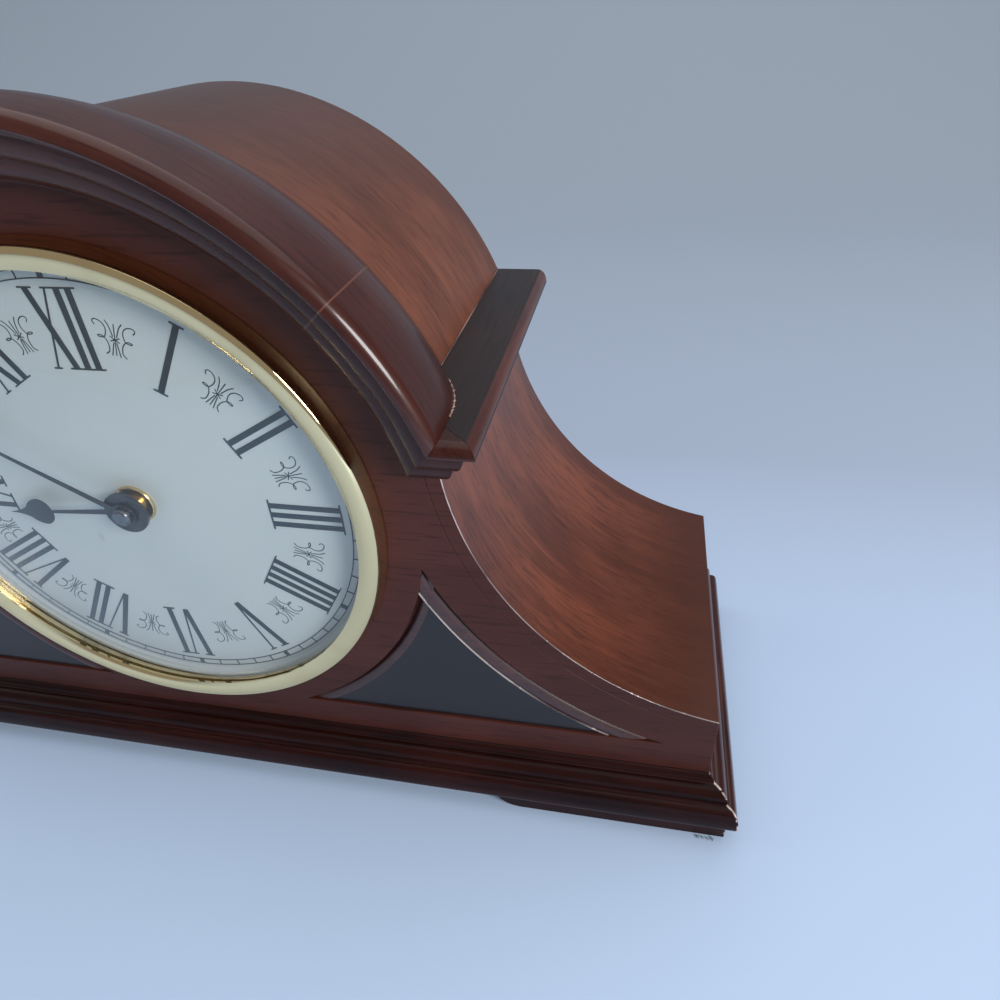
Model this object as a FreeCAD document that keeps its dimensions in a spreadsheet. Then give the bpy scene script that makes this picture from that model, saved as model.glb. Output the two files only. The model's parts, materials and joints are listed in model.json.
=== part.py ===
# Tambour mantel clock: a humped wooden case with a hinged bezel, a battery movement and a back door.
# X runs to the right, Y to the back and Z up. The origin is under the middle of the case,
# on the surface that the felt pads stand on. Lengths are millimetres.
import FreeCAD
import Part
import Sketcher

import math
import os
import re

SIZES = {
    # Case, seen from the front
    "half_width": 200.0,
    "case_depth": 121.4,
    "pad_height": 1.0,
    "foot_height": 9.0,
    "board_thickness": 12.0,
    "panel_thickness": 18.0,
    "cover_thickness": 5.0,
    "end_thickness": 12.0,
    "dial_z": 132.0,
    "arch_radius": 112.4,
    "shoulder_setback": 19.6,
    "shoulder_rise": 35.3,
    "shoulder_radius": 111.8,
    # Crown moulding, its ears and the ledges behind them
    "crown_overhang": 9.8,
    "crown_nose": 18.8,
    "crown_height": 19.4,
    "crown_depth": 26.0,
    "crown_flat": 4.0,
    "ledge_rise": 43.0,
    "ledge_return": 5.65,
    "ledge_root": 4.05,
    # Base moulding
    "base_height": 18.8,
    "base_nose": 11.9,
    # Bracket feet and their felt pads
    "foot_overhang": 8.4,
    "foot_length": 88.4,
    "foot_return": 46.0,
    "foot_thickness": 12.0,
    "foot_round": 8.8,
    "pad_inset": 1.0,
    # Sunk corner panels of the front, with a moulded frame round a dark inlay
    "inlay_rise": 12.9,
    "inlay_dial_margin": 16.3,
    "inlay_dial_bead": 4.5,
    "inlay_shoulder_margin": 14.2,
    "inlay_shoulder_bead": 8.0,
    "inlay_sink": 3.2,
    "inlay_thickness": 2.0,
    # Opening for the dial
    "rabbet_radius": 84.0,
    "rabbet_depth": 9.3,
    "movement_clearance": 3.5,
    # Dial
    "dial_board_thickness": 6.0,
    "dial_plate_thickness": 1.0,
    "dial_clearance": 0.4,
    "dial_rim_height": 2.5,
    "dial_rim_width": 0.7,
    "dial_rim_slope": 2.1,
    "ink_thickness": 0.25,
    "numeral_inner": 49.35,
    "numeral_outer": 73.83,
    "numeral_bar": 1.9,
    "numeral_gap": 1.75,
    "numeral_thin": 0.5,
    "numeral_serif": 0.45,
    "serif_reach": 1.3,
    "numeral_spread": 8.4,
    "track_inner": 76.4,
    "track_outer": 79.3,
    "track_line": 0.3,
    "minute_mark": 0.3,
    "five_minute_mark": 1.7,
    # Bezel with its domed glass
    "bezel_radius": 89.0,
    "bezel_gap": 0.3,
    "bezel_height": 7.0,
    "bezel_side_height": 5.5,
    "bezel_side_taper": 1.0,
    "bezel_crest": 85.5,
    "bezel_inner": 81.1,
    "bezel_lip_front": 5.6,
    "bezel_lip_back": 4.9,
    "bezel_pocket": 84.4,
    "glass_thickness": 1.5,
    "glass_apex": 17.0,
    "glass_clearance": 0.3,
    "glass_dome_radius": 80.5,
    "gasket_width": 2.8,
    "gasket_thickness": 1.5,
    "gasket_clearance": 0.05,
    # Bezel hinge, on the left of the dial
    "bezel_hinge_x": 91.6,
    "bezel_hinge_y": 2.3,
    "bezel_knuckle_radius": 2.0,
    "bezel_pin_radius": 1.0,
    "bezel_plate_reach": 101.0,
    "bezel_plate_thickness": 0.8,
    "bezel_plate_half": 14.0,
    "bezel_knuckle_half": 4.0,
    "bezel_tab_reach": 87.0,
    "bezel_tab_half": 1.0,
    "bezel_screw_half": 9.0,
    "knuckle_gap": 0.25,
    "pin_clearance": 0.06,
    # Small screws
    "screw_radius": 0.9,
    "screw_head_radius": 1.8,
    "screw_head_height": 0.6,
    "screw_length": 7.0,
    "screw_clearance": 0.05,
    # Back panel and its door
    "back_recess": 4.0,
    "back_thickness": 6.0,
    "door_radius": 78.0,
    "door_gap": 0.6,
    "door_drop": 91.4,
    "door_backset": 0.3,
    "sound_hole_radius": 1.8,
    "sound_ring_step": 8.0,
    "door_sound_drop": 62.0,
    "door_knob_x": 66.0,
    "door_knob_drop": 32.0,
    "door_knob_radius": 6.0,
    "door_knob_height": 3.4,
    "door_knob_neck": 2.2,
    "door_knob_seat": 0.1,
    "magnet_length": 24.0,
    "magnet_height": 14.0,
    "magnet_depth": 6.0,
    "magnet_overlap": 10.0,
    "door_hinge_offset": 0.3,
    "door_hinge_y": 2.0,
    "door_knuckle_radius": 1.8,
    "door_pin_radius": 0.8,
    "door_leaf_width": 14.0,
    "door_leaf_thickness": 0.8,
    "door_hinge_half": 12.0,
    "door_knuckle_half": 4.0,
    "door_hinge_drop_upper": 20.0,
    "door_hinge_drop_lower": 72.0,
    "panel_screw_inset": 8.0,
    "panel_screw_low": 6.0,
    "panel_screw_high": 22.0,
    "panel_screw_x": 31.4,
    # Movement case
    "movement_half_width": 46.0,
    "movement_drop": 48.0,
    "movement_rise": 30.0,
    "movement_depth": 21.7,
    "movement_wall": 1.6,
    "movement_cover_thickness": 2.0,
    "movement_corner": 3.6,
    "battery_bay_height": 30.6,
    "divider_thickness": 1.2,
    "boss_radius": 2.2,
    "battery_window_half": 21.0,
    "battery_window_height": 27.0,
    # Bush, nut and hand arbors, all on the dial axis
    "bush_radius": 4.0,
    "bush_bore": 2.68,
    "bush_front": 0.6,
    "bush_flange_radius": 5.5,
    "bush_flange_thickness": 0.8,
    "bush_clearance": 0.15,
    "nut_radius": 7.2,
    "nut_thickness": 1.3,
    "hour_pipe_radius": 2.6,
    "hour_pipe_bore": 1.58,
    "cannon_radius": 1.5,
    "cannon_pivot_radius": 0.9,
    "cannon_pivot_length": 7.5,
    "pivot_clearance": 0.06,
    "bearing_boss_radius": 2.5,
    # Motion work: gears of one tooth module between the minute hand and the hour hand
    "motion_module": 0.5,
    "hour_wheel_teeth": 32.0,
    "minute_wheel_teeth": 30.0,
    "minute_pinion_teeth": 8.0,
    "cannon_teeth": 10.0,
    "wheel_play": 0.3,
    "hour_wheel_thickness": 1.5,
    "minute_wheel_thickness": 1.5,
    "motion_step": 1.0,
    "post_radius": 0.7,
    "post_spare": 1.5,
    # Setting knob, on the back of the movement
    "set_shaft_radius": 1.2,
    "set_boss_length": 6.0,
    "set_boss_radius": 2.8,
    "back_knob_radius": 6.0,
    "back_knob_height": 5.5,
    "back_knob_gap": 0.3,
    # Hands
    "hour_angle": 265.0,
    "minute_angle": 300.0,
    "hour_length": 47.0,
    "minute_length": 74.0,
    "hour_plane": 2.5,
    "minute_plane": 4.2,
    "hand_thickness": 0.4,
    "hour_boss_radius": 7.7,
    "hour_boss_thickness": 1.2,
    "minute_boss_radius": 4.2,
    "hand_root": 2.2,
    "hand_neck": 1.1,
    "hour_spade": 5.2,
    "minute_spade": 4.2,
    "cap_radius": 3.2,
    "cap_crown": 2.0,
    "cap_height": 2.4,
    # Stepping motor
    "motor_module": 0.3,
    "rotor_teeth": 8.0,
    "second_wheel_teeth": 40.0,
    "rotor_x": 30.0,
    "rotor_rise": 14.0,
    "rotor_post_radius": 0.4,
    "rotor_magnet_radius": 3.0,
    "rotor_magnet_height": 3.0,
    "rotor_step": 2.0,
    "rotor_pinion_height": 3.2,
    "second_wheel_step": 2.3,
    "second_wheel_thickness": 0.8,
    "stator_step": 4.0,
    "stator_thickness": 1.5,
    "stator_bore": 3.4,
    "stator_left": 43.4,
    "stator_right": 25.0,
    "stator_half": 5.5,
    "stator_foot": 7.0,
    "coil_x": 38.9,
    "coil_radius": 4.2,
    "coil_core": 1.6,
    "coil_length": 24.0,
    "stator_post_low": 19.2,
    "stator_post_high": 2.4,
    "coil_gap": 0.1,
    # Circuit board
    "circuit_left": 14.0,
    "circuit_right": 43.0,
    "circuit_low": 11.0,
    "circuit_high": 23.0,
    "circuit_thickness": 1.6,
    "circuit_stand": 2.5,
    "chip_half": 5.0,
    "chip_height": 1.8,
    # Batteries
    "cell_radius": 7.25,
    "cell_length": 50.5,
    "cell_cap_radius": 2.75,
    "cell_cap_length": 1.2,
    "cell_space": 0.6,
    "contact_thickness": 0.5,
    "contact_half": 5.0,
    "rib_thickness": 1.6,
    # Volume knob and chime selector
    "volume_x": 20.0,
    "control_drop": 8.0,
    "volume_shaft_radius": 1.5,
    "volume_collar_radius": 3.6,
    "volume_collar_length": 1.6,
    "volume_mark": 0.8,
    "control_clearance": 0.06,
    "selector_x": 29.0,
    "selector_throw": 4.0,
    "selector_half": 2.0,
    "selector_neck_half": 1.4,
    "selector_flange_half": 4.4,
    "selector_height": 2.6,
    # Speaker, on the bottom board
    "speaker_x": 125.0,
    "speaker_radius": 28.5,
    "speaker_flange": 1.5,
    "speaker_rim": 24.0,
    "speaker_neck": 15.0,
    "speaker_height": 16.0,
    "speaker_wall": 1.5,
    "speaker_vent": 1.5,
    "cone_slope_drop": 5.3,
    "magnet_radius": 14.0,
    "magnet_thickness": 8.0,
    "voice_coil_radius": 8.0,
    "cone_thickness": 0.8,
    "sound_slot_radius": 1.9,
    # One overrun for every cut that runs past its piece
    "overrun": 2.0,
}

PLACES = {
    # Front face of the case, and what lies a named distance behind or above it
    "face": "(crown_nose - case_depth) / 2",
    "case_back": "face + case_depth",
    "panel_back": "face + panel_thickness",
    "crown_back": "face + crown_depth",
    "base_bottom": "pad_height + foot_height",
    "base_top": "base_bottom + base_height",
    "board_top": "base_bottom + board_thickness",
    "crown_radius": "arch_radius + crown_overhang",
    "crown_inner": "crown_radius - crown_height",
    "ledge_top": "dial_z + ledge_rise",
    "ledge_bottom": "ledge_top - crown_height",
    "shoulder_x": "half_width + shoulder_setback",
    "shoulder_z": "dial_z + shoulder_rise",
    "shoulder_inner": "shoulder_radius + cover_thickness",
    "arch_inner": "arch_radius - cover_thickness",
    "end_inner": "half_width - end_thickness",
    # Crown and ledge meet on a mitre between these two points
    "mitre_low_x": "sqrt(crown_inner^2 - (ledge_bottom - dial_z)^2)",
    "mitre_high_x": "sqrt(crown_radius^2 - ledge_rise^2)",
    "ledge_face": "mitre_low_x + ledge_return",
    "ledge_inner": "mitre_low_x - ledge_root",
    "ear_start": "ledge_inner - crown_height",
    # Corner panels
    "inlay_low": "base_top + inlay_rise",
    "inlay_dial_radius": "rabbet_radius + inlay_dial_margin",
    "inlay_shoulder_radius": "shoulder_inner + inlay_shoulder_margin",
    "inlay_dial_edge": "inlay_dial_radius + inlay_dial_bead",
    "inlay_shoulder_edge": "inlay_shoulder_radius + inlay_shoulder_bead",
    # Dial and bezel depths
    "rabbet_back": "face + rabbet_depth",
    "through_radius": "sqrt(movement_half_width^2 + movement_drop^2) + movement_clearance",
    "dial_board_front": "rabbet_back - dial_board_thickness",
    "dial_front": "dial_board_front - dial_plate_thickness",
    "dial_radius": "rabbet_radius - dial_clearance",
    "bezel_back": "face - bezel_gap",
    "lip_back": "face - bezel_lip_back",
    "glass_back": "lip_back + glass_thickness",
    "glass_radius": "bezel_pocket - glass_clearance",
    "gasket_front": "glass_back + gasket_clearance",
    "hinge_axis_y": "face - bezel_hinge_y",
    # Back panel and door depths
    "back_front": "case_back - back_recess - back_thickness",
    "back_back": "case_back - back_recess",
    "speaker_y": "(panel_back + back_front) / 2",
    "opening_radius": "door_radius + door_gap",
    "door_front": "back_front + door_backset",
    "door_low": "dial_z - door_drop",
    "door_axis_x": "0 - door_radius - door_hinge_offset",
    "door_axis_y": "back_back + door_hinge_y",
    # Movement
    "tray_front": "rabbet_back",
    "tray_floor": "tray_front + movement_wall",
    "tray_back": "tray_front + movement_depth",
    "cover_back": "tray_back + movement_cover_thickness",
    "tray_low": "dial_z - movement_drop",
    "tray_high": "dial_z + movement_rise",
    "bay_low": "tray_low + movement_wall",
    "bay_high": "bay_low + battery_bay_height",
    "works_low": "bay_high + divider_thickness",
    "boss_x": "movement_half_width - movement_corner",
    "boss_low": "tray_low + movement_corner",
    "boss_high": "tray_high - movement_corner",
    "motion_distance": "motion_module * (minute_wheel_teeth + cannon_teeth) / 2",
    "minute_wheel_z": "dial_z + motion_distance",
    "set_z": "minute_wheel_z + motion_distance",
    "flange_back": "tray_floor + bush_flange_thickness",
    "hour_wheel_front": "flange_back + wheel_play",
    "hour_wheel_back": "hour_wheel_front + hour_wheel_thickness",
    "motion_front": "hour_wheel_back + motion_step",
    "motion_back": "motion_front + minute_wheel_thickness",
    "rotor_z": "dial_z + rotor_rise",
    "motor_distance": "motor_module * (rotor_teeth + second_wheel_teeth) / 2",
    "second_wheel_x": "motor_distance - rotor_x",
    "control_z": "dial_z - control_drop",
    "cell_y": "tray_floor + cell_space + cell_radius",
    "cell_low": "bay_low + cell_space / 2 + cell_radius",
    "cell_high": "cell_low + 2 * cell_radius + cell_space",
    "cell_end": "cell_length / 2",
    "contact_end": "cell_end + contact_thickness",
    "knob_front": "cover_back + back_knob_gap",
}

# Section of the crown moulding, ear and ledge: reach and drop as shares, then the next arc's bulge
CROWN_SHARES = (
    (0.245, 1.0, 0),
    (0.245, 0.98, 0.35),
    (0.511, 0.665, 0),
    (0.564, 0.649, 0.3),
    (0.739, 0.33, -0.3),
    (0.984, 0.165, 0),
    (1.0, 0.093, 0.35),
    (0.904, 0.0, 0),
)
# Section of the base moulding: reach and height as shares, then the next arc's bulge
BASE_SHARES = (
    (0.882, 0.0, 0.297),
    (0.891, 0.484, 0),
    (0.664, 0.527, -0.3),
    (0.434, 0.628, 0.2),
    (0.257, 0.856, 0),
    (0.126, 0.92, 0),
    (0.0, 1.0, 0),
)
# Where the cut along the mitre starts and ends, as shares of the mitre
MITRE_SPAN = (-0.2, 1.2)
# Bulges of single arcs
FLARE_SHARE = 0.16
BEAD_SHARE = 0.33
CREST_SHARE = 0.3
CAP_SHARE = 0.3
# Spade hand: half width as a share of the spade, distance as a share of the hand's length
SPADE_SHARES = ((0.0, 0.64, 0.35), (1.0, 0.72, 0.25), (0.42, 0.84, -0.12))
# Tooth of a gear: half widths at root, pitch line and tip as shares of the pitch
TOOTH_SHARES = ((0.27, -1.2), (0.2, 0.0), (0.09, 0.85))

document = FreeCAD.newDocument("tambour_clock")
sheet = document.addObject("Spreadsheet::Sheet", "Sizes")
nodes = {}


def fill_sheet():
    """Writes each size into a cell of its own, with its name beside it."""
    for row, (name, number) in enumerate(SIZES.items(), start=1):
        sheet.set(f"A{row}", name)
        sheet.set(f"B{row}", str(number))
        sheet.setAlias(f"B{row}", name)
    sheet.recompute()


def bound(text):
    """Returns the expression with each place worked out and each size read from the sheet."""
    def swap(match):
        word = match.group(0)
        if word in PLACES:
            return f"({bound(PLACES[word])})"
        if word in SIZES:
            return f"Sizes.{word}"
        return word
    return re.sub(r"[a-z][a-z_0-9]*", swap, str(text))


def value(text):
    """Returns the number that an expression of sizes and places stands for."""
    return float(sheet.evalExpression(bound(text)))


def arc(radius, turn):
    """An arc of a real radius to the next point, turning left (1) or right (-1)."""
    return ("arc", radius, turn)


def circle(x, z, radius):
    """A full circle of an outline."""
    return ("circle", x, z, radius)


def rectangle(x_low, x_high, z_low, z_high):
    """A rectangle of an outline."""
    return [(x_low, z_low), (x_high, z_low), (x_high, z_high), (x_low, z_high)]


def beside(centre_x, centre_z, radius, z):
    """The distance from a centre's x at which a circle passes a height."""
    return f"sqrt(({radius})^2 - (({z}) - ({centre_z}))^2)"


def mirrored(points, side):
    """The points as they are on the right (1), or turned over to the left (-1)."""
    if side > 0:
        return points
    turned_over = []
    for x, z, *edge in points:
        flipped = list(edge)
        if edge and isinstance(edge[0], tuple):
            flipped = [arc(edge[0][1], -edge[0][2])]
        elif edge:
            flipped = [-edge[0]]
        turned_over.append((f"0 - ({x})", z, *flipped))
    return turned_over


def edge_arc(start, end, radius, turn):
    """Part's arc between two points, and whether it runs from end to start."""
    chord = end - start
    reach = math.sqrt(max(radius ** 2 - (chord.Length / 2) ** 2, 0))
    left = FreeCAD.Vector(-chord.y, chord.x, 0).normalize()
    centre = (start + end) / 2 + left * reach * turn
    first, last = (start, end) if turn > 0 else (end, start)
    angles = [math.atan2(point.y - centre.y, point.x - centre.x) for point in (first, last)]
    ring = Part.Circle(centre, FreeCAD.Vector(0, 0, 1), radius)
    return Part.ArcOfCircle(ring, *angles), turn < 0


def draw(sketch, loops):
    """Draws closed loops whose points and radii are bound to the sheet."""
    geometry = []
    constraints = []
    formulas = []

    def bind(kind, where, text):
        constraints.append(Sketcher.Constraint(kind, *where, value(text)))
        formulas.append((len(constraints) - 1, bound(text)))

    def bind_point(index, position, x, z):
        bind("DistanceX", (-1, 1, index, position), x)
        bind("DistanceY", (-1, 1, index, position), z)

    for loop in loops:
        first = len(geometry)
        if loop[0] == "circle":
            _, x, z, radius = loop
            centre = FreeCAD.Vector(value(x), value(z), 0)
            geometry.append(Part.Circle(centre, FreeCAD.Vector(0, 0, 1), value(radius)))
            bind_point(first, 3, x, z)
            bind("Radius", (first,), radius)
            continue
        count = len(loop)
        corners = [FreeCAD.Vector(value(point[0]), value(point[1]), 0) for point in loop]
        starts = []
        for step, point in enumerate(loop):
            following = loop[(step + 1) % count]
            start, end = corners[step], corners[(step + 1) % count]
            edge = point[2] if len(point) > 2 else 0
            if not edge:
                geometry.append(Part.LineSegment(start, end))
                starts.append((first + step, 1, 2))
                continue
            if isinstance(edge, tuple):
                radius, turn = edge[1], edge[2]
            else:
                across = f"(({following[0]}) - ({point[0]}))^2 + (({following[1]}) - ({point[1]}))^2"
                radius = f"{(1 + edge ** 2) / (4 * abs(edge))} * sqrt({across})"
                turn = 1 if edge > 0 else -1
            curve, backward = edge_arc(start, end, value(radius), turn)
            geometry.append(curve)
            bind("Radius", (first + step,), radius)
            starts.append((first + step, 2, 1) if backward else (first + step, 1, 2))
        for step, (index, start, end) in enumerate(starts):
            next_index, next_start, _ = starts[(step + 1) % count]
            constraints.append(Sketcher.Constraint("Coincident", index, end, next_index, next_start))
            bind_point(index, start, loop[step][0], loop[step][1])
    sketch.addGeometry(geometry, False)
    sketch.addConstraint(constraints)
    for index, text in formulas:
        sketch.setExpression(f"Constraints[{index}]", text)


def sketch_on(body, plane, at, loops, right="0", up="0"):
    """A sketch on one of the body's own planes, moved to its place along the plane's axis."""
    sketch = body.newObject("Sketcher::SketchObject", f"{body.Label}_outline")
    support = next(item for item in body.Origin.OriginFeatures if item.Role == f"{plane}_Plane")
    sketch.AttachmentSupport = [(support, "")]
    sketch.MapMode = "FlatFace"
    sketch.setExpression("AttachmentOffset.Base.x", bound(right))
    sketch.setExpression("AttachmentOffset.Base.y", bound(up))
    sketch.setExpression("AttachmentOffset.Base.z", bound(f"0 - ({at})" if plane == "XZ" else at))
    draw(sketch, loops)
    return sketch


def extrude(body, kind, plane, at, length, loops):
    """Pads or pockets loops from a place on the plane's axis, towards its positive end."""
    feature = body.newObject(f"PartDesign::{kind}", f"{body.Label}_{kind.lower()}")
    feature.Profile = sketch_on(body, plane, at, loops)
    feature.setExpression("Length", bound(length))
    feature.Reversed = (plane == "XZ") == (kind == "Pad")
    body.Tip = feature
    return feature


def pad(body, plane, at, length, *loops):
    """Adds material."""
    return extrude(body, "Pad", plane, at, length, loops)


def pocket(body, plane, at, length, *loops):
    """Takes material away."""
    return extrude(body, "Pocket", plane, at, length, loops)


def turn_about(body, axis, first, second, profile, kind="Revolution"):
    """Turns a profile about an axis along X, Y or Z; first and second place that axis."""
    feature = body.newObject(f"PartDesign::{kind}", f"{body.Label}_{kind.lower()}")
    if axis == "Y":
        sketch = sketch_on(body, "YZ", first, [profile], up=second)
    elif axis == "X":
        sketch = sketch_on(body, "XZ", first, [profile], up=second)
    else:
        sketch = sketch_on(body, "XZ", second, [profile], right=first)
    feature.Profile = sketch
    feature.ReferenceAxis = (sketch, ["V_Axis" if axis == "Z" else "H_Axis"])
    feature.Angle = 360
    body.Tip = feature
    return feature


def new_body(name, is_node=True):
    """A body; its label names the sub-part."""
    body = document.addObject("PartDesign::Body", name)
    body.Label = name
    if is_node:
        nodes[name] = body
    return body


def slab(name, plane, at, length, *loops, is_node=True):
    """A body of one padded outline."""
    body = new_body(name, is_node)
    pad(body, plane, at, length, *loops)
    return body


def group(name, members):
    """A node of several separate solids."""
    bundle = document.addObject("Part::Compound", name)
    bundle.Label = name
    bundle.Links = members
    nodes[name] = bundle


def feature_node(name, shape):
    """A node whose shape is worked out from the sheet by formula."""
    item = document.addObject("Part::Feature", name)
    item.Label = name
    item.Shape = shape
    nodes[name] = item
    return item


def side_name(name, side):
    """The name of a left or right piece."""
    return f"{name}_right" if side > 0 else f"{name}_left"


def section(shares, reach, rise):
    """The points of a moulding's section, from its shares and two functions of reach and rise."""
    return [(reach(share), rise(level), bulge) for share, level, bulge in shares]


def turned_right(points):
    """The same points for a section that is drawn clockwise."""
    return [(x, z, -bulge) for x, z, bulge in points]


def shoulder_at(radius, z):
    """The shoulder curve's x at a height."""
    return f"shoulder_x - {beside('shoulder_x', 'shoulder_z', radius, z)}"


def shoulder_over(radius, x):
    """The shoulder curve's height over an x."""
    return f"shoulder_z - sqrt(({radius})^2 - (shoulder_x - ({x}))^2)"


def panel_outline():
    """The front panel: straight at the foot, swept in at the shoulders, round at the top."""
    tip = shoulder_over("shoulder_inner", "half_width")
    neck = shoulder_at("shoulder_inner", "ledge_bottom")
    return [
        ("0 - half_width", "board_top"),
        ("half_width", "board_top"),
        ("half_width", tip, arc("shoulder_inner", -1)),
        (neck, "ledge_bottom"),
        ("mitre_low_x", "ledge_bottom", arc("crown_inner", 1)),
        ("0 - mitre_low_x", "ledge_bottom"),
        (f"0 - ({neck})", "ledge_bottom", arc("shoulder_inner", -1)),
        ("0 - half_width", tip),
    ]


def corner_outline(dial_radius, shoulder_radius, side):
    """A three-sided panel between the dial's circle, the shoulder's circle and a level foot."""
    gap = "(shoulder_x^2 + shoulder_rise^2)"
    along = f"((({dial_radius})^2 - ({shoulder_radius})^2 + {gap}) / (2 * {gap}))"
    across = f"sqrt(({dial_radius})^2 / {gap} - {along}^2)"
    apex_x = f"shoulder_x * {along} + shoulder_rise * {across}"
    apex_z = f"dial_z + shoulder_rise * {along} - shoulder_x * {across}"
    foot_in = beside("0", "dial_z", dial_radius, "inlay_low")
    foot_out = shoulder_at(shoulder_radius, "inlay_low")
    return mirrored([
        (foot_in, "inlay_low"),
        (foot_out, "inlay_low", arc(shoulder_radius, -1)),
        (apex_x, apex_z, arc(dial_radius, -1)),
    ], side)


def make_front_panel():
    """The front board with its dial opening and the two sunk corners."""
    body = slab("front_panel", "XZ", "face", "panel_thickness", panel_outline())
    pocket(body, "XZ", "face", "rabbet_depth", circle("0", "dial_z", "rabbet_radius"))
    pocket(body, "XZ", "rabbet_back", "panel_thickness", circle("0", "dial_z", "through_radius"))
    corners = [corner_outline("inlay_dial_radius", "inlay_shoulder_radius", side) for side in (1, -1)]
    pocket(body, "XZ", "face", "inlay_sink", *corners)


def make_corner_panels():
    """In each sunk corner a frame with a rounded bead on its curved sides, and a dark inlay."""
    for side in (1, -1):
        frame = slab(side_name("inlay_frame", side), "XZ", "face", "inlay_sink",
                     corner_outline("inlay_dial_radius", "inlay_shoulder_radius", side))
        centre = "shoulder_x" if side > 0 else "0 - shoulder_x"
        beads = (("0", "dial_z", "inlay_dial_radius", "inlay_dial_edge"),
                 (centre, "shoulder_z", "inlay_shoulder_radius", "inlay_shoulder_edge"))
        for x, z, wall, edge in beads:
            turn_about(frame, "Y", x, z, [
                ("face - overrun", f"{wall} - overrun"),
                ("face + inlay_sink", f"{wall} - overrun"),
                ("face + inlay_sink", wall, -BEAD_SHARE),
                ("face", edge),
                ("face - overrun", edge),
            ], "Groove")
        inlay = corner_outline("inlay_dial_edge", "inlay_shoulder_edge", side)
        pocket(frame, "XZ", "face", "inlay_thickness", inlay)
        slab(side_name("inlay_panel", side), "XZ", "face", "inlay_thickness", inlay)


def sound_holes(x, y, radius, rings=2):
    """A hole with rings of holes round it."""
    holes = [circle(x, y, radius)]
    for ring in range(1, rings + 1):
        count = 6 * ring
        for step in range(count):
            turn = 360 / count * step
            holes.append(circle(f"{x} + {ring} * sound_ring_step * cos({turn})",
                                f"{y} + {ring} * sound_ring_step * sin({turn})", radius))
    return holes


def make_base():
    """The bottom board, the end blocks and the mitred base mouldings."""
    board = slab("bottom_board", "XY", "base_bottom", "board_thickness",
                 rectangle("0 - half_width", "half_width", "face", "case_back"))
    pocket(board, "XY", "base_bottom - overrun", "board_thickness + 2 * overrun",
           *sound_holes("speaker_x", "speaker_y", "sound_slot_radius"))
    for side in (1, -1):
        slab(side_name("end_block", side), "XZ", "panel_back", "case_depth - panel_thickness", mirrored([
            ("end_inner", "board_top"),
            ("half_width", "board_top"),
            ("half_width", shoulder_over("shoulder_inner", "half_width"), arc("shoulder_inner", -1)),
            ("end_inner", shoulder_over("shoulder_inner", "end_inner")),
        ], side))
    front = new_body("base_moulding_front")
    profile = section(BASE_SHARES, lambda share: f"face - {share} * base_nose",
                      lambda share: f"base_bottom + {share} * base_height")
    pad(front, "YZ", "0 - half_width - base_nose", "2 * (half_width + base_nose)",
        turned_right(profile) + [("face", "base_bottom")])
    far = "half_width + base_nose + overrun"
    near = "face - base_nose - overrun"
    corners = [mirrored([("half_width", "face"), (far, near), (far, "face")], side) for side in (1, -1)]
    pocket(front, "XY", "base_bottom - overrun", "base_height + 2 * overrun", *corners)
    for side in (1, -1):
        moulding = new_body(side_name("base_moulding", side))
        profile = section(BASE_SHARES, lambda share: f"half_width + {share} * base_nose",
                          lambda share: f"base_bottom + {share} * base_height")
        pad(moulding, "XZ", "face - base_nose", "case_depth + base_nose",
            mirrored(profile + [("half_width", "base_bottom")], side))
        corner = mirrored([("half_width", "face"), ("half_width", near), (far, near)], side)
        pocket(moulding, "XY", "base_bottom - overrun", "base_height + 2 * overrun", corner)


def make_covers():
    """The bent covers: one over the arch, one down each shoulder."""
    outer = beside("0", "dial_z", "arch_radius", "ledge_top")
    inner = beside("0", "dial_z", "arch_inner", "ledge_top")
    slab("arch_cover", "XZ", "crown_back", "case_depth - crown_depth", [
        (outer, "ledge_top", arc("arch_radius", 1)),
        (f"0 - {outer}", "ledge_top"),
        (f"0 - {inner}", "ledge_top", arc("arch_inner", -1)),
        (inner, "ledge_top"),
    ])
    for side in (1, -1):
        slab(side_name("shoulder_cover", side), "XZ", "face", "case_depth", mirrored([
            ("half_width", shoulder_over("shoulder_inner", "half_width")),
            ("half_width", shoulder_over("shoulder_radius", "half_width"), arc("shoulder_radius", -1)),
            (shoulder_at("shoulder_radius", "ledge_bottom"), "ledge_bottom"),
            (shoulder_at("shoulder_inner", "ledge_bottom"), "ledge_bottom", arc("shoulder_inner", 1)),
        ], side))


def mitre_point(share):
    """A point on the line of the mitre between crown and ledge, past its ends for shares over 1."""
    return (f"mitre_low_x + {share} * (mitre_high_x - mitre_low_x)",
            f"ledge_bottom + {share} * crown_height")


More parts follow.
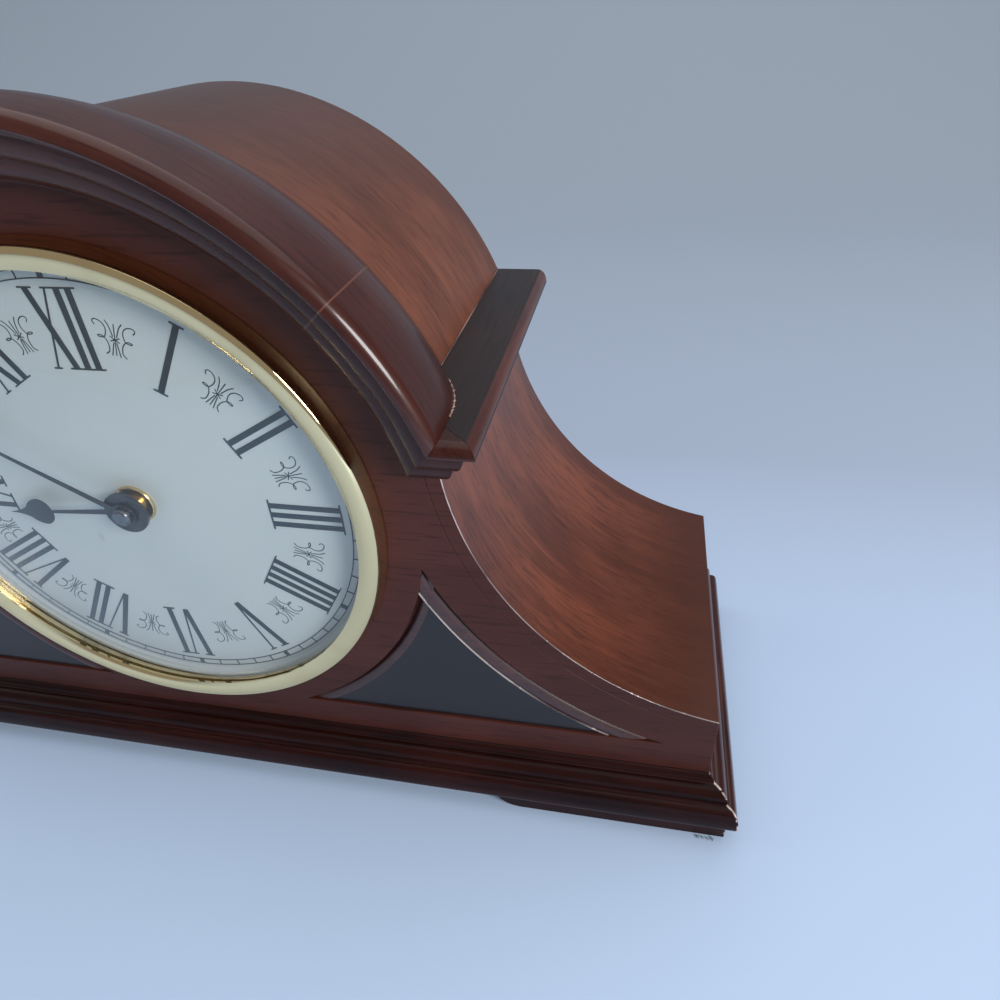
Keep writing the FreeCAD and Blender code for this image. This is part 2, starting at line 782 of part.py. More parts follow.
def make_crown():
    """The crown moulding bent round the arch, the ear that returns it and the ledge behind."""
    crown = new_body("crown_moulding")
    profile = section(CROWN_SHARES, lambda share: f"face - {share} * crown_nose",
                      lambda share: f"crown_radius - {share} * crown_height")
    turn_about(crown, "Y", "0", "dial_z", [("crown_back", "crown_inner")] + turned_right(profile) + [
        ("face - crown_flat", "crown_radius", -FLARE_SHARE),
        ("crown_back", "arch_radius"),
    ])
    low, high = (mitre_point(share) for share in MITRE_SPAN)
    right = [low, high, ("crown_radius + overrun", high[1]),
             ("crown_radius + overrun", "dial_z - crown_radius - overrun")]
    below = right + mirrored(right, -1)[::-1]
    pocket(crown, "XZ", "face - crown_nose - overrun", "crown_nose + crown_depth + 2 * overrun", below)
    pocket(crown, "XZ", "face - crown_flat", "crown_flat + crown_depth + overrun", rectangle(
        "0 - crown_radius - overrun", "crown_radius + overrun", "dial_z - crown_radius - overrun", "ledge_top"))
    near = "face - crown_nose - overrun"
    far = "ledge_face + crown_nose + overrun"
    for side in (1, -1):
        ear = new_body(side_name("ear_moulding", side))
        profile = section(CROWN_SHARES, lambda share: f"face - {share} * crown_nose",
                          lambda share: f"ledge_top - {share} * crown_height")
        start = "ear_start" if side > 0 else "0 - ledge_face - crown_nose"
        pad(ear, "YZ", start, "ledge_face + crown_nose - ear_start",
            [("face", "ledge_bottom")] + turned_right(profile) + [("face", "ledge_top")])
        pocket(ear, "XZ", near, "crown_nose + 2 * overrun", mirrored(
            [low, high, ("ear_start - overrun", high[1]), ("ear_start - overrun", low[1])], side))
        pocket(ear, "XY", "ledge_bottom - overrun", "crown_height + 2 * overrun",
               mirrored([("ledge_face", "face"), (far, near), (far, "face")], side))
        ledge = new_body(side_name("ledge", side))
        profile = section(CROWN_SHARES, lambda share: f"ledge_face + {share} * crown_nose",
                          lambda share: f"ledge_top - {share} * crown_height")
        pad(ledge, "XZ", "face - crown_nose", "case_depth + crown_nose", mirrored(
            [("ledge_inner", "ledge_bottom")] + profile + [("ledge_inner", "ledge_top")], side))
        pocket(ledge, "XY", "ledge_bottom - overrun", "crown_height + 2 * overrun", mirrored(
            [("ear_start", "face"), ("ear_start", near), (far, near), ("ledge_face", "face")], side))
        pocket(ledge, "XZ", near, "crown_nose - crown_flat + overrun", mirrored(
            [low, high, ("ear_start - overrun", high[1]), ("ear_start - overrun", low[1])], side))
        pocket(ledge, "XZ", "face - crown_flat", "crown_flat + crown_depth",
               circle("0", "dial_z", "crown_inner"))


def foot_outline(end, inner, sign):
    """The side view of a foot: square at its corner, rounded at its inner end."""
    return [
        (inner, "base_bottom", sign * math.tan(math.pi / 8)),
        (f"{inner} + {sign} * foot_round", "base_bottom - foot_round"),
        (f"{inner} + {sign} * foot_round", "pad_height"),
        (end, "pad_height"),
        (end, "base_bottom"),
    ]


def make_feet():
    """Four bracket feet, each of a front or rear leg and a side leg, with felt under them."""
    outer = "half_width + foot_overhang"
    feet = []
    pads = new_body("felt_pads")
    outlines = []
    for depth in (1, -1):
        edge = "face - foot_overhang" if depth > 0 else "case_back"
        leg_start = edge if depth > 0 else "case_back - foot_thickness"
        for side in (1, -1):
            foot = new_body(f"{side_name('foot', side)}_{'front' if depth > 0 else 'rear'}", False)
            pad(foot, "XZ", leg_start, "foot_thickness",
                mirrored(foot_outline(outer, f"{outer} - foot_length", 1), side))
            side_start = f"{outer} - foot_thickness" if side > 0 else f"0 - ({outer})"
            pad(foot, "YZ", side_start, "foot_thickness",
                foot_outline(edge, f"{edge} + {depth} * foot_return", -depth))
            feet.append(foot)
            inset = f"{edge} + {depth} * pad_inset"
            inner_edge = f"{edge} + {depth} * (foot_thickness - pad_inset)"
            leg_end = f"{edge} + {depth} * (foot_return - foot_round - pad_inset)"
            outlines.append(mirrored([
                (f"{outer} - pad_inset", inset),
                (f"{outer} - pad_inset", leg_end),
                (f"{outer} - foot_thickness + pad_inset", leg_end),
                (f"{outer} - foot_thickness + pad_inset", inner_edge),
                (f"{outer} - foot_length + foot_round + pad_inset", inner_edge),
                (f"{outer} - foot_length + foot_round + pad_inset", inset),
            ], side))
    group("bracket_feet", feet)
    pad(pads, "XY", "0", "pad_height", *outlines)


def arched(radius, low):
    """A door's outline: a round top about the dial axis on straight sides."""
    return [
        (f"0 - ({radius})", low),
        (radius, low),
        (radius, "dial_z", arc(radius, 1)),
        ("0", f"dial_z + {radius}", arc(radius, 1)),
        (f"0 - ({radius})", "dial_z"),
    ]


def make_back():
    """The back panel with its arched opening, screwed between the covers."""
    neck = shoulder_at("shoulder_inner", "ledge_bottom")
    step = beside("0", "dial_z", "arch_inner", "ledge_top")
    side = [
        ("end_inner", "board_top"),
        ("end_inner", shoulder_over("shoulder_inner", "end_inner"), arc("shoulder_inner", -1)),
        (neck, "ledge_bottom"),
        ("ledge_inner", "ledge_bottom"),
        ("ledge_inner", "ledge_top"),
        (step, "ledge_top", arc("arch_inner", 1)),
    ]
    other = [("0 - end_inner", "board_top")]
    left = [
        (f"0 - {step}", "ledge_top"),
        ("0 - ledge_inner", "ledge_top"),
        ("0 - ledge_inner", "ledge_bottom"),
        (f"0 - ({neck})", "ledge_bottom", arc("shoulder_inner", -1)),
        ("0 - end_inner", shoulder_over("shoulder_inner", "end_inner")),
    ]
    body = slab("back_panel", "XZ", "back_front", "back_thickness", other + side + left)
    pocket(body, "XZ", "back_front - overrun", "back_thickness + 2 * overrun",
           arched("opening_radius", "door_low - door_gap"))
    screws = new_body("back_panel_screws")
    places = [(f"{sign} * {x}", f"board_top + {rise}") for sign in (1, -1) for x, rise in (
        ("(end_inner - panel_screw_inset)", "panel_screw_low"),
        ("(end_inner - panel_screw_inset)", "panel_screw_high"),
        ("panel_screw_x", "panel_screw_low"))]
    add_screws(screws, "back_back", places)
    cut_screw_holes(body, "back_front - overrun", places)


def add_screws(body, seat, places, towards=1):
    """Screws whose heads lie on a seat; their shanks run forwards (1) or backwards (-1)."""
    shank = f"{seat} - screw_length" if towards > 0 else seat
    head = seat if towards > 0 else f"{seat} - screw_head_height"
    pad(body, "XZ", shank, "screw_length", *[circle(x, z, "screw_radius") for x, z in places])
    pad(body, "XZ", head, "screw_head_height", *[circle(x, z, "screw_head_radius") for x, z in places])


def cut_screw_holes(body, start, places, depth="screw_length + overrun"):
    """Holes for the shanks of screws."""
    radius = "screw_radius + screw_clearance"
    pocket(body, "XZ", start, depth, *[circle(x, z, radius) for x, z in places])


def make_door():
    """The back door with its sound holes, knob, magnet and two butt hinges."""
    door = slab("back_door", "XZ", "door_front", "back_thickness - door_backset",
                arched("door_radius", "door_low"))
    holes = sound_holes("0", "dial_z - door_sound_drop", "sound_hole_radius")
    knob_z = "dial_z - door_knob_drop"
    holes.append(circle("door_knob_x", knob_z, "door_knob_neck + screw_clearance"))
    pocket(door, "XZ", "door_front - overrun", "back_thickness + 2 * overrun", *holes)
    knob = new_body("door_knob")
    turn_about(knob, "Y", "door_knob_x", knob_z, [
        ("door_front", "0"),
        ("back_back + door_knob_seat + door_knob_height", "0"),
        ("back_back + door_knob_seat + door_knob_height", "door_knob_radius - cap_crown", CAP_SHARE),
        ("back_back + door_knob_seat + door_knob_height / 2", "door_knob_radius"),
        ("back_back + door_knob_seat", "door_knob_radius - cap_crown"),
        ("back_back + door_knob_seat", "door_knob_neck"),
        ("door_front", "door_knob_neck"),
    ])
    slab("door_magnet", "XZ", "back_front - magnet_depth", "magnet_depth", rectangle(
        "door_radius - magnet_overlap", "door_radius - magnet_overlap + magnet_length",
        f"{knob_z} - magnet_height / 2", f"{knob_z} + magnet_height / 2"))
    levels = ("dial_z - door_hinge_drop_upper", "dial_z - door_hinge_drop_lower")
    plates = new_body("door_hinge_plates", False)
    leaves = new_body("door_hinge_leaves")
    pins = new_body("door_hinge_pins", False)
    knuckle = circle("door_axis_x", "door_axis_y", "door_knuckle_radius")
    leaf_back = "back_back + door_leaf_thickness"
    for level in levels:
        low, height = f"{level} - door_hinge_half", "2 * door_hinge_half"
        pad(plates, "XY", low, height, rectangle(
            "door_axis_x - door_leaf_width", "door_axis_x", "back_back", leaf_back))
        pad(plates, "XY", low, height, knuckle)
        pocket(plates, "XY", f"{level} - door_knuckle_half - knuckle_gap",
               "2 * (door_knuckle_half + knuckle_gap)", rectangle(
                   "door_axis_x - door_knuckle_radius - door_hinge_offset", "door_axis_x + door_leaf_width",
                   "back_back - overrun", "case_back + overrun"))
        pad(leaves, "XY", low, height, rectangle(
            "door_axis_x + door_knuckle_radius + door_hinge_offset", "door_axis_x + door_leaf_width",
            "back_back", leaf_back))
        pad(leaves, "XY", f"{level} - door_knuckle_half", "2 * door_knuckle_half", rectangle(
            "door_axis_x", "door_axis_x + door_leaf_width", "back_back", leaf_back))
        pad(leaves, "XY", f"{level} - door_knuckle_half", "2 * door_knuckle_half", knuckle)
        pocket(leaves, "XY", low, height,
               circle("door_axis_x", "door_axis_y", "door_pin_radius + pin_clearance"))
        pocket(plates, "XY", low, height, circle("door_axis_x", "door_axis_y", "door_pin_radius"))
        pad(pins, "XY", low, height, circle("door_axis_x", "door_axis_y", "door_pin_radius"))
    group("door_hinges", [plates, pins])


def make_dial():
    """The dial board, the white plate with its rim, the numerals and the minute track."""
    slab("dial_board", "XZ", "dial_board_front", "dial_board_thickness",
         circle("0", "dial_z", "dial_radius"), circle("0", "dial_z", "bush_radius + bush_clearance"))
    plate = new_body("dial_plate")
    turn_about(plate, "Y", "0", "dial_z", [
        ("dial_board_front", "bush_radius + bush_clearance"),
        ("dial_board_front", "dial_radius"),
        ("dial_front - dial_rim_height", "dial_radius"),
        ("dial_front - dial_rim_height", "dial_radius - dial_rim_width"),
        ("dial_front", "dial_radius - dial_rim_width - dial_rim_slope"),
        ("dial_front", "bush_radius + bush_clearance"),
    ])
    make_numerals()
    make_minute_track()


def ink(points, angle):
    """A thin printed shape: points across and up a numeral, carried round the dial."""
    turn = math.radians(angle)
    front = value("dial_front - ink_thickness")
    corners = []
    for across, out in points:
        x = across * math.cos(turn) + out * math.sin(turn)
        z = out * math.cos(turn) - across * math.sin(turn)
        corners.append(FreeCAD.Vector(x, front, value("dial_z") + z))
    face = Part.Face(Part.makePolygon(corners + corners[:1]))
    return face.extrude(FreeCAD.Vector(0, value("ink_thickness"), 0))


def stroke(low_x, high_x, width):
    """A straight stroke from a numeral's foot to its head."""
    low, high = value("numeral_inner"), value("numeral_outer")
    return [(low_x - width / 2, low), (low_x + width / 2, low),
            (high_x + width / 2, high), (high_x - width / 2, high)]


def serif(left, right, out):
    """A thin line across the strokes of a numeral."""
    half = value("numeral_serif") / 2
    return [(left, out - half), (right, out - half), (right, out + half), (left, out + half)]


def numeral_strokes(letters):
    """The strokes and serifs of one numeral, centred, as lists of points."""
    bar, gap = value("numeral_bar"), value("numeral_gap")
    thin, spread = value("numeral_thin"), value("numeral_spread")
    low, high, reach = value("numeral_inner"), value("numeral_outer"), value("serif_reach")
    widths = {"I": bar, "V": spread, "X": spread}
    total = sum(widths[letter] for letter in letters) + gap * (len(letters) - 1)
    start = -total / 2
    shapes = []
    bars = []
    for letter in letters:
        middle = start + widths[letter] / 2
        left, right = start + bar / 2, start + widths[letter] - bar / 2
        if letter == "I":
            shapes.append(stroke(middle, middle, bar))
            bars.append(middle)
        elif letter == "V":
            shapes.append(stroke(middle, left, bar))
            shapes.append(stroke(middle + (bar - thin) / 2, right, thin))
            shapes.append(serif(left - bar / 2 - reach / 2, left + bar / 2 + reach, high))
            shapes.append(serif(right - reach, right + reach, high))
        else:
            shapes.append(stroke(right, left, bar))
            shapes.append(stroke(left, right, thin))
            for level, thick, slender in ((high, left, right), (low, right, left)):
                shapes.append(serif(thick - bar / 2 - reach, thick + bar / 2 + reach, level))
                shapes.append(serif(slender - reach, slender + reach, level))
        start += widths[letter] + gap
    if bars:
        for level in (low, high):
            shapes.append(serif(bars[0] - bar / 2 - reach, bars[-1] + bar / 2 + reach, level))
    return shapes


def make_numerals():
    """Twelve Roman numerals round the dial, feet to the centre."""
    names = ("I", "II", "III", "IIII", "V", "VI", "VII", "VIII", "IX", "X", "XI", "XII")
    solids = []
    for hour, letters in enumerate(names, start=1):
        strokes = [ink(points, hour * 30) for points in numeral_strokes(letters)]
        solids.append(strokes[0].multiFuse(strokes[1:]).removeSplitter())
    feature_node("dial_numerals", Part.makeCompound(solids))


def make_minute_track():
    """Two thin rings joined by sixty marks, every fifth one broad."""
    centre = FreeCAD.Vector(0, value("dial_front - ink_thickness"), value("dial_z"))
    inner, outer = value("track_inner"), value("track_outer")
    line = value("track_line")

    def spot(radius, angle):
        return centre + FreeCAD.Vector(radius * math.sin(angle), 0, radius * math.cos(angle))

    def ring(radius):
        return Part.Wire([Part.makeCircle(radius, centre, FreeCAD.Vector(0, 1, 0))])

    def half_mark(minute):
        name = "five_minute_mark" if minute % 5 == 0 else "minute_mark"
        return value(name) / (inner + outer)

    def window(minute):
        first = math.radians(6 * minute) + half_mark(minute)
        last = math.radians(6 * minute + 6) - half_mark(minute + 1)
        middle = (first + last) / 2
        low, high = inner + line, outer - line
        edges = [
            Part.Arc(spot(low, first), spot(low, middle), spot(low, last)).toShape(),
            Part.LineSegment(spot(low, last), spot(high, last)).toShape(),
            Part.Arc(spot(high, last), spot(high, middle), spot(high, first)).toShape(),
            Part.LineSegment(spot(high, first), spot(low, first)).toShape(),
        ]
        return Part.Wire(edges)

    windows = [window(minute) for minute in range(60)]
    face = Part.Face([ring(outer), ring(inner)] + windows)
    face.validate()
    feature_node("minute_track", face.extrude(FreeCAD.Vector(0, value("ink_thickness"), 0)))


def make_bezel():
    """The brass bezel ring, its domed glass, the ring that holds it, and the hinge."""
    ring = new_body("bezel_ring")
    turn_about(ring, "Y", "0", "dial_z", [
        ("bezel_back", "bezel_pocket"),
        ("bezel_back", "bezel_radius"),
        ("face - bezel_side_height", "bezel_radius - bezel_side_taper", CREST_SHARE),
        ("face - bezel_height", "bezel_crest", CREST_SHARE / 2),
        ("face - bezel_lip_front", "bezel_inner"),
        ("lip_back", "bezel_inner"),
        ("lip_back", "bezel_pocket"),
    ])
    axis = ("0 - bezel_hinge_x", "hinge_axis_y")
    middle = ("dial_z - bezel_knuckle_half", "2 * bezel_knuckle_half")
    pad(ring, "XY", *middle, rectangle(
        "0 - bezel_hinge_x", "0 - bezel_tab_reach", "hinge_axis_y - bezel_tab_half",
        "hinge_axis_y + bezel_tab_half"))
    pad(ring, "XY", *middle, circle(*axis, "bezel_knuckle_radius"))
    pocket(ring, "XY", *middle, circle(*axis, "bezel_pin_radius + pin_clearance"))
    glass = new_body("bezel_glass")
    rise = "(glass_apex - bezel_lip_back)"
    dome = f"(glass_dome_radius^2 + {rise}^2) / (2 * {rise})"
    turn_about(glass, "Y", "0", "dial_z", [
        ("face - glass_apex", "0", arc(dome, -1)),
        ("lip_back", "glass_dome_radius"),
        ("lip_back", "glass_radius"),
        ("glass_back", "glass_radius"),
        ("glass_back", "glass_dome_radius", arc(dome, 1)),
        ("face - glass_apex + glass_thickness", "0"),
    ])
    gasket = new_body("glass_gasket")
    turn_about(gasket, "Y", "0", "dial_z", rectangle(
        "gasket_front", "gasket_front + gasket_thickness",
        "bezel_pocket - gasket_width", "bezel_pocket - gasket_clearance"))
    plate = new_body("bezel_hinge_plate", False)
    span = ("dial_z - bezel_plate_half", "2 * bezel_plate_half")
    pad(plate, "XY", *span, rectangle(
        "0 - bezel_plate_reach", "0 - bezel_hinge_x", "face - bezel_plate_thickness", "face"))
    pad(plate, "XY", *span, circle(*axis, "bezel_knuckle_radius"))
    pocket(plate, "XY", "dial_z - bezel_knuckle_half - knuckle_gap",
           "2 * (bezel_knuckle_half + knuckle_gap)", rectangle(
               "0 - bezel_hinge_x - bezel_knuckle_radius - knuckle_gap", "0 - bezel_tab_reach",
               "hinge_axis_y - bezel_knuckle_radius - overrun", "face + overrun"))
    pocket(plate, "XY", *span, circle(*axis, "bezel_pin_radius"))
    screw_x = "0 - (bezel_plate_reach + bezel_hinge_x + bezel_knuckle_radius) / 2"
    places = [(screw_x, f"dial_z + {sign} * bezel_screw_half") for sign in (1, -1)]
    cut_screw_holes(plate, "face - overrun", places)
    screws = new_body("bezel_hinge_screws", False)
    add_screws(screws, "face - bezel_plate_thickness", places, -1)
    cut_screw_holes(nodes["front_panel"], "face", places)
    pin = slab("bezel_hinge_pin", "XY", *span, circle(*axis, "bezel_pin_radius"), is_node=False)
    group("bezel_hinge", [plate, pin, screws])


def make_movement_case():
    """The movement's tray with its bosses and posts, and the cover that closes it."""
    tray = slab("movement_case", "XZ", "tray_front", "movement_depth", rectangle(
        "0 - movement_half_width", "movement_half_width", "tray_low", "tray_high"))
    inner = "movement_half_width - movement_wall"
    pocket(tray, "XZ", "tray_floor", "movement_depth",
           rectangle(f"0 - ({inner})", inner, "bay_low", "bay_high"),
           rectangle(f"0 - ({inner})", inner, "works_low", "tray_high - movement_wall"))
    corners = [(f"{sign} * boss_x", level) for sign in (1, -1) for level in ("boss_low", "boss_high")]
    depth = "movement_depth - movement_wall"
    pad(tray, "XZ", "tray_floor", depth, *[circle(x, z, "boss_radius") for x, z in corners])
    ribs = [mirrored(rectangle("contact_end", "contact_end + rib_thickness", "bay_low", "bay_high"), side)
            for side in (1, -1)]
    pad(tray, "XZ", "tray_floor", "cell_space + 2 * cell_radius", *ribs)
    posts = (
        ("0", "minute_wheel_z", "post_radius", "motion_back + post_spare"),
        ("second_wheel_x", "rotor_z", "post_radius", "tray_floor + second_wheel_step + post_spare"),
        ("0 - rotor_x", "rotor_z", "rotor_post_radius",
         "tray_floor + rotor_step + rotor_pinion_height + rotor_magnet_height"),
    )
    for x, z, radius, end in posts:
        pad(tray, "XZ", "tray_floor", f"{end} - tray_floor", circle(x, z, radius))
    stands = [circle("0 - coil_x", level, "coil_core")
              for level in ("rotor_z + stator_post_high", "rotor_z - stator_post_low")]
    pad(tray, "XZ", "tray_floor", "stator_step", *stands)
    legs = [circle(x, z, "coil_core") for x in ("circuit_left + boss_radius", "circuit_right - boss_radius")
            for z in ("dial_z - circuit_low + boss_radius", "dial_z + circuit_high - 2 * boss_radius")]
    pad(tray, "XZ", "tray_floor", "circuit_stand", *legs)
    pocket(tray, "XZ", "tray_front - overrun", "movement_wall + 2 * overrun",
           circle("0", "dial_z", "bush_radius"))
    cut_screw_holes(tray, "tray_back - screw_length", corners)
    cover = slab("movement_cover", "XZ", "tray_back", "movement_cover_thickness", rectangle(
        "0 - movement_half_width", "movement_half_width", "tray_low", "tray_high"))
    pad(cover, "XZ", "motion_back + motion_step", "tray_back - motion_back - motion_step",
        circle("0", "dial_z", "bearing_boss_radius"))
    pad(cover, "XZ", "tray_back - set_boss_length", "set_boss_length",
        circle("0", "set_z", "set_boss_radius"))
    pocket(cover, "XZ", "motion_back", "cannon_pivot_length + motion_step",
           circle("0", "dial_z", "cannon_pivot_radius + pivot_clearance"))
    through = ("tray_back - set_boss_length - overrun",
               "set_boss_length + movement_cover_thickness + 2 * overrun")
    pocket(cover, "XZ", *through, circle("0", "set_z", "set_shaft_radius + pivot_clearance"))
    pocket(cover, "XZ", "tray_back - overrun", "movement_cover_thickness + 2 * overrun",
           circle("0 - volume_x", "control_z", "volume_shaft_radius + control_clearance"),
           rectangle("selector_x - selector_throw - selector_neck_half - control_clearance",
                     "selector_x + selector_throw + selector_neck_half + control_clearance",
                     "control_z - selector_neck_half - control_clearance",
                     "control_z + selector_neck_half + control_clearance"),
           rectangle("0 - battery_window_half", "battery_window_half",
                     "(cell_low + cell_high - battery_window_height) / 2",
                     "(cell_low + cell_high + battery_window_height) / 2"))
    cut_screw_holes(cover, "tray_back - overrun", corners)
    add_screws(new_body("movement_screws"), "cover_back", corners)


def make_motor():
    """The stepping motor: coil, stator plate, rotor and the first wheel of its train."""
    stator = slab("motor_stator", "XZ", "tray_floor + stator_step", "stator_thickness", [
        ("0 - stator_left", "rotor_z - coil_length + stator_foot / 2"),
        ("0 - stator_left + stator_foot", "rotor_z - coil_length + stator_foot / 2"),
        ("0 - stator_left + stator_foot", "rotor_z - stator_half"),
        ("0 - stator_right", "rotor_z - stator_half"),
        ("0 - stator_right", "rotor_z + stator_half"),
        ("0 - stator_left", "rotor_z + stator_half"),
    ])
    pocket(stator, "XZ", "tray_floor", "2 * (stator_step + stator_thickness)",
           circle("0 - rotor_x", "rotor_z", "stator_bore"))
    coil = new_body("motor_coil")
    coil_y = "tray_floor + stator_step + stator_thickness + coil_gap + coil_radius"
    top = "rotor_z + stator_half - stator_foot / 2"
    turn_about(coil, "Z", "0 - coil_x", coil_y, [
        ("0", f"{top} - coil_length"),
        ("coil_radius", f"{top} - coil_length"),
        ("coil_radius", f"{top} - coil_length + coil_core"),
        ("coil_radius - coil_core / 2", f"{top} - coil_length + coil_core"),
        ("coil_radius - coil_core / 2", f"{top} - coil_core"),
        ("coil_radius", f"{top} - coil_core"),
        ("coil_radius", top),
        ("0", top),
    ])
    front = "tray_floor + rotor_step"
    pinion = gear("rotor_teeth", "motor_module", "rotor_pinion_height", "rotor_post_radius", "pivot_clearance")
    magnet = drum("rotor_magnet_radius", "rotor_magnet_height", "rotor_post_radius", "pivot_clearance")
    magnet.translate(FreeCAD.Vector(0, value("rotor_pinion_height"), 0))
    item = feature_node("motor_rotor", pinion.fuse(magnet).removeSplitter())
    item.Placement.Base = FreeCAD.Vector(-value("rotor_x"), value(front), value("rotor_z"))
    wheel = gear("second_wheel_teeth", "motor_module", "second_wheel_thickness", "post_radius",
                 "pivot_clearance", shift=0.5)
    item = feature_node("second_wheel", wheel)
    item.Placement.Base = FreeCAD.Vector(value("second_wheel_x"), value("tray_floor + second_wheel_step"),
                                         value("rotor_z"))


def drum(radius, height, bore, clearance):
    """A disc with a bore, its axis along Y."""
    axis = FreeCAD.Vector(0, 1, 0)
    outer = Part.makeCylinder(value(radius), value(height), FreeCAD.Vector(), axis)
    return outer.cut(Part.makeCylinder(value(f"{bore} + {clearance}"), value(height), FreeCAD.Vector(), axis))


def gear(teeth, tooth_module, thickness, bore, clearance, shift=0.0):
    """A spur gear with tapered teeth, its axis along Y; shift turns it by a share of a tooth."""
    count = round(value(teeth))
    scale = value(tooth_module)
    pitch_radius = count * scale / 2
    step = 2 * math.pi / count
    corners = []
    for tooth in range(count):
        middle = (tooth + shift) * step
        rising = [(-half, height) for half, height in TOOTH_SHARES]
        falling = [(half, height) for half, height in reversed(TOOTH_SHARES)]
        for half, height in rising + falling:
            radius = pitch_radius + height * scale
            angle = middle + half * scale * math.pi / radius
            corners.append(FreeCAD.Vector(radius * math.sin(angle), 0, radius * math.cos(angle)))
    face = Part.Face(Part.makePolygon(corners + corners[:1]))
    body = face.extrude(FreeCAD.Vector(0, value(thickness), 0))
    axis = FreeCAD.Vector(0, 1, 0)
    hole = Part.makeCylinder(value(f"{bore} + {clearance}"), value(thickness), FreeCAD.Vector(), axis)
    return body.cut(hole)


def tube(outer, inner, length):
    """A tube along Y from the origin."""
    return drum(outer, length, inner, "0")


def shaft(radius, length):
    """A plain round shaft along Y from the origin."""
    return Part.makeCylinder(value(radius), value(length), FreeCAD.Vector(), FreeCAD.Vector(0, 1, 0))


def moved(shape, y):
    """The shape moved to a depth."""
    shape.translate(FreeCAD.Vector(0, value(y), 0))
    return shape


def make_motion_work():
    """Bush, nut, hour wheel on its pipe, cannon pinion on its arbor, minute wheel and set knob."""
    bush = new_body("centre_bush")
    turn_about(bush, "Y", "0", "dial_z", [
        ("face - bush_front", "bush_bore"),
        ("face - bush_front", "bush_radius"),
        ("tray_floor", "bush_radius"),
        ("tray_floor", "bush_flange_radius"),
        ("flange_back", "bush_flange_radius"),
        ("flange_back", "bush_bore"),
    ])
    nut = new_body("bush_nut")
    turn_about(nut, "Y", "0", "dial_z", [
        ("dial_front - nut_thickness", "bush_radius"),
        ("dial_front - nut_thickness", "nut_radius - nut_thickness / 2", -CAP_SHARE),
        ("dial_front - nut_thickness / 2", "nut_radius"),
        ("dial_front", "nut_radius"),
        ("dial_front", "bush_radius"),
    ])
    pipe_front = "face - hour_plane - hour_boss_thickness"
    pipe_length = f"hour_wheel_back - ({pipe_front})"
    pipe = moved(tube("hour_pipe_radius", "hour_pipe_bore", pipe_length), pipe_front)
    wheel = gear("hour_wheel_teeth", "motion_module", "hour_wheel_thickness", "hour_pipe_bore", "0")
    at_axis("hour_wheel", pipe.fuse(moved(wheel, "hour_wheel_front")), "dial_z")
    arbor_front = "face - minute_plane - hand_thickness - cap_height / 2"
    arbor = moved(shaft("cannon_radius", f"motion_back - ({arbor_front})"), arbor_front)
    pivot = moved(shaft("cannon_pivot_radius", "cannon_pivot_length"), "motion_back")
    pinion = moved(gear("cannon_teeth", "motion_module", "minute_wheel_thickness", "cannon_pivot_radius",
                        "0", shift=0.5), "motion_front")
    at_axis("cannon_pinion", arbor.multiFuse([pivot, pinion]), "dial_z")
    wheel = moved(gear("minute_wheel_teeth", "motion_module", "minute_wheel_thickness", "post_radius",
                       "pivot_clearance"), "motion_front")
    small = moved(gear("minute_pinion_teeth", "motion_module", "motion_front - hour_wheel_front",
                       "post_radius", "pivot_clearance", shift=0.5), "hour_wheel_front")
    at_axis("minute_wheel", wheel.fuse(small), "minute_wheel_z")
    pinion = moved(gear("cannon_teeth", "motion_module", "minute_wheel_thickness", "cannon_pivot_radius",
                        "0", shift=0.5), "motion_front")
    spindle = moved(shaft("set_shaft_radius", "knob_front - motion_front"), "motion_front")
    knob = moved(shaft("back_knob_radius", "back_knob_height"), "knob_front")
    at_axis("set_knob", spindle.multiFuse([pinion, knob]), "set_z")


def at_axis(name, shape, z):
    """A node on an axis along Y in the middle plane, at a height."""
    item = feature_node(name, shape.removeSplitter())
    item.Placement.Base = FreeCAD.Vector(0, 0, value(z))


def hand_outline(length, spade):
    """A spade hand that points up from the origin."""
    (_, neck_far, neck_bulge), *spade_points = SPADE_SHARES
    right = [("hand_root / 2", "0", 0), ("hand_neck / 2", f"{neck_far} * {length}", neck_bulge)]
    right += [(f"{half} * {spade}", f"{far} * {length}", bulge) for half, far, bulge in spade_points]
    left = []
    for index in range(len(right) - 1, -1, -1):
        left.append((f"0 - {right[index][0]}", right[index][1], right[index - 1][2] if index else 0))
    return right + [("0", length, spade_points[-1][2])] + left


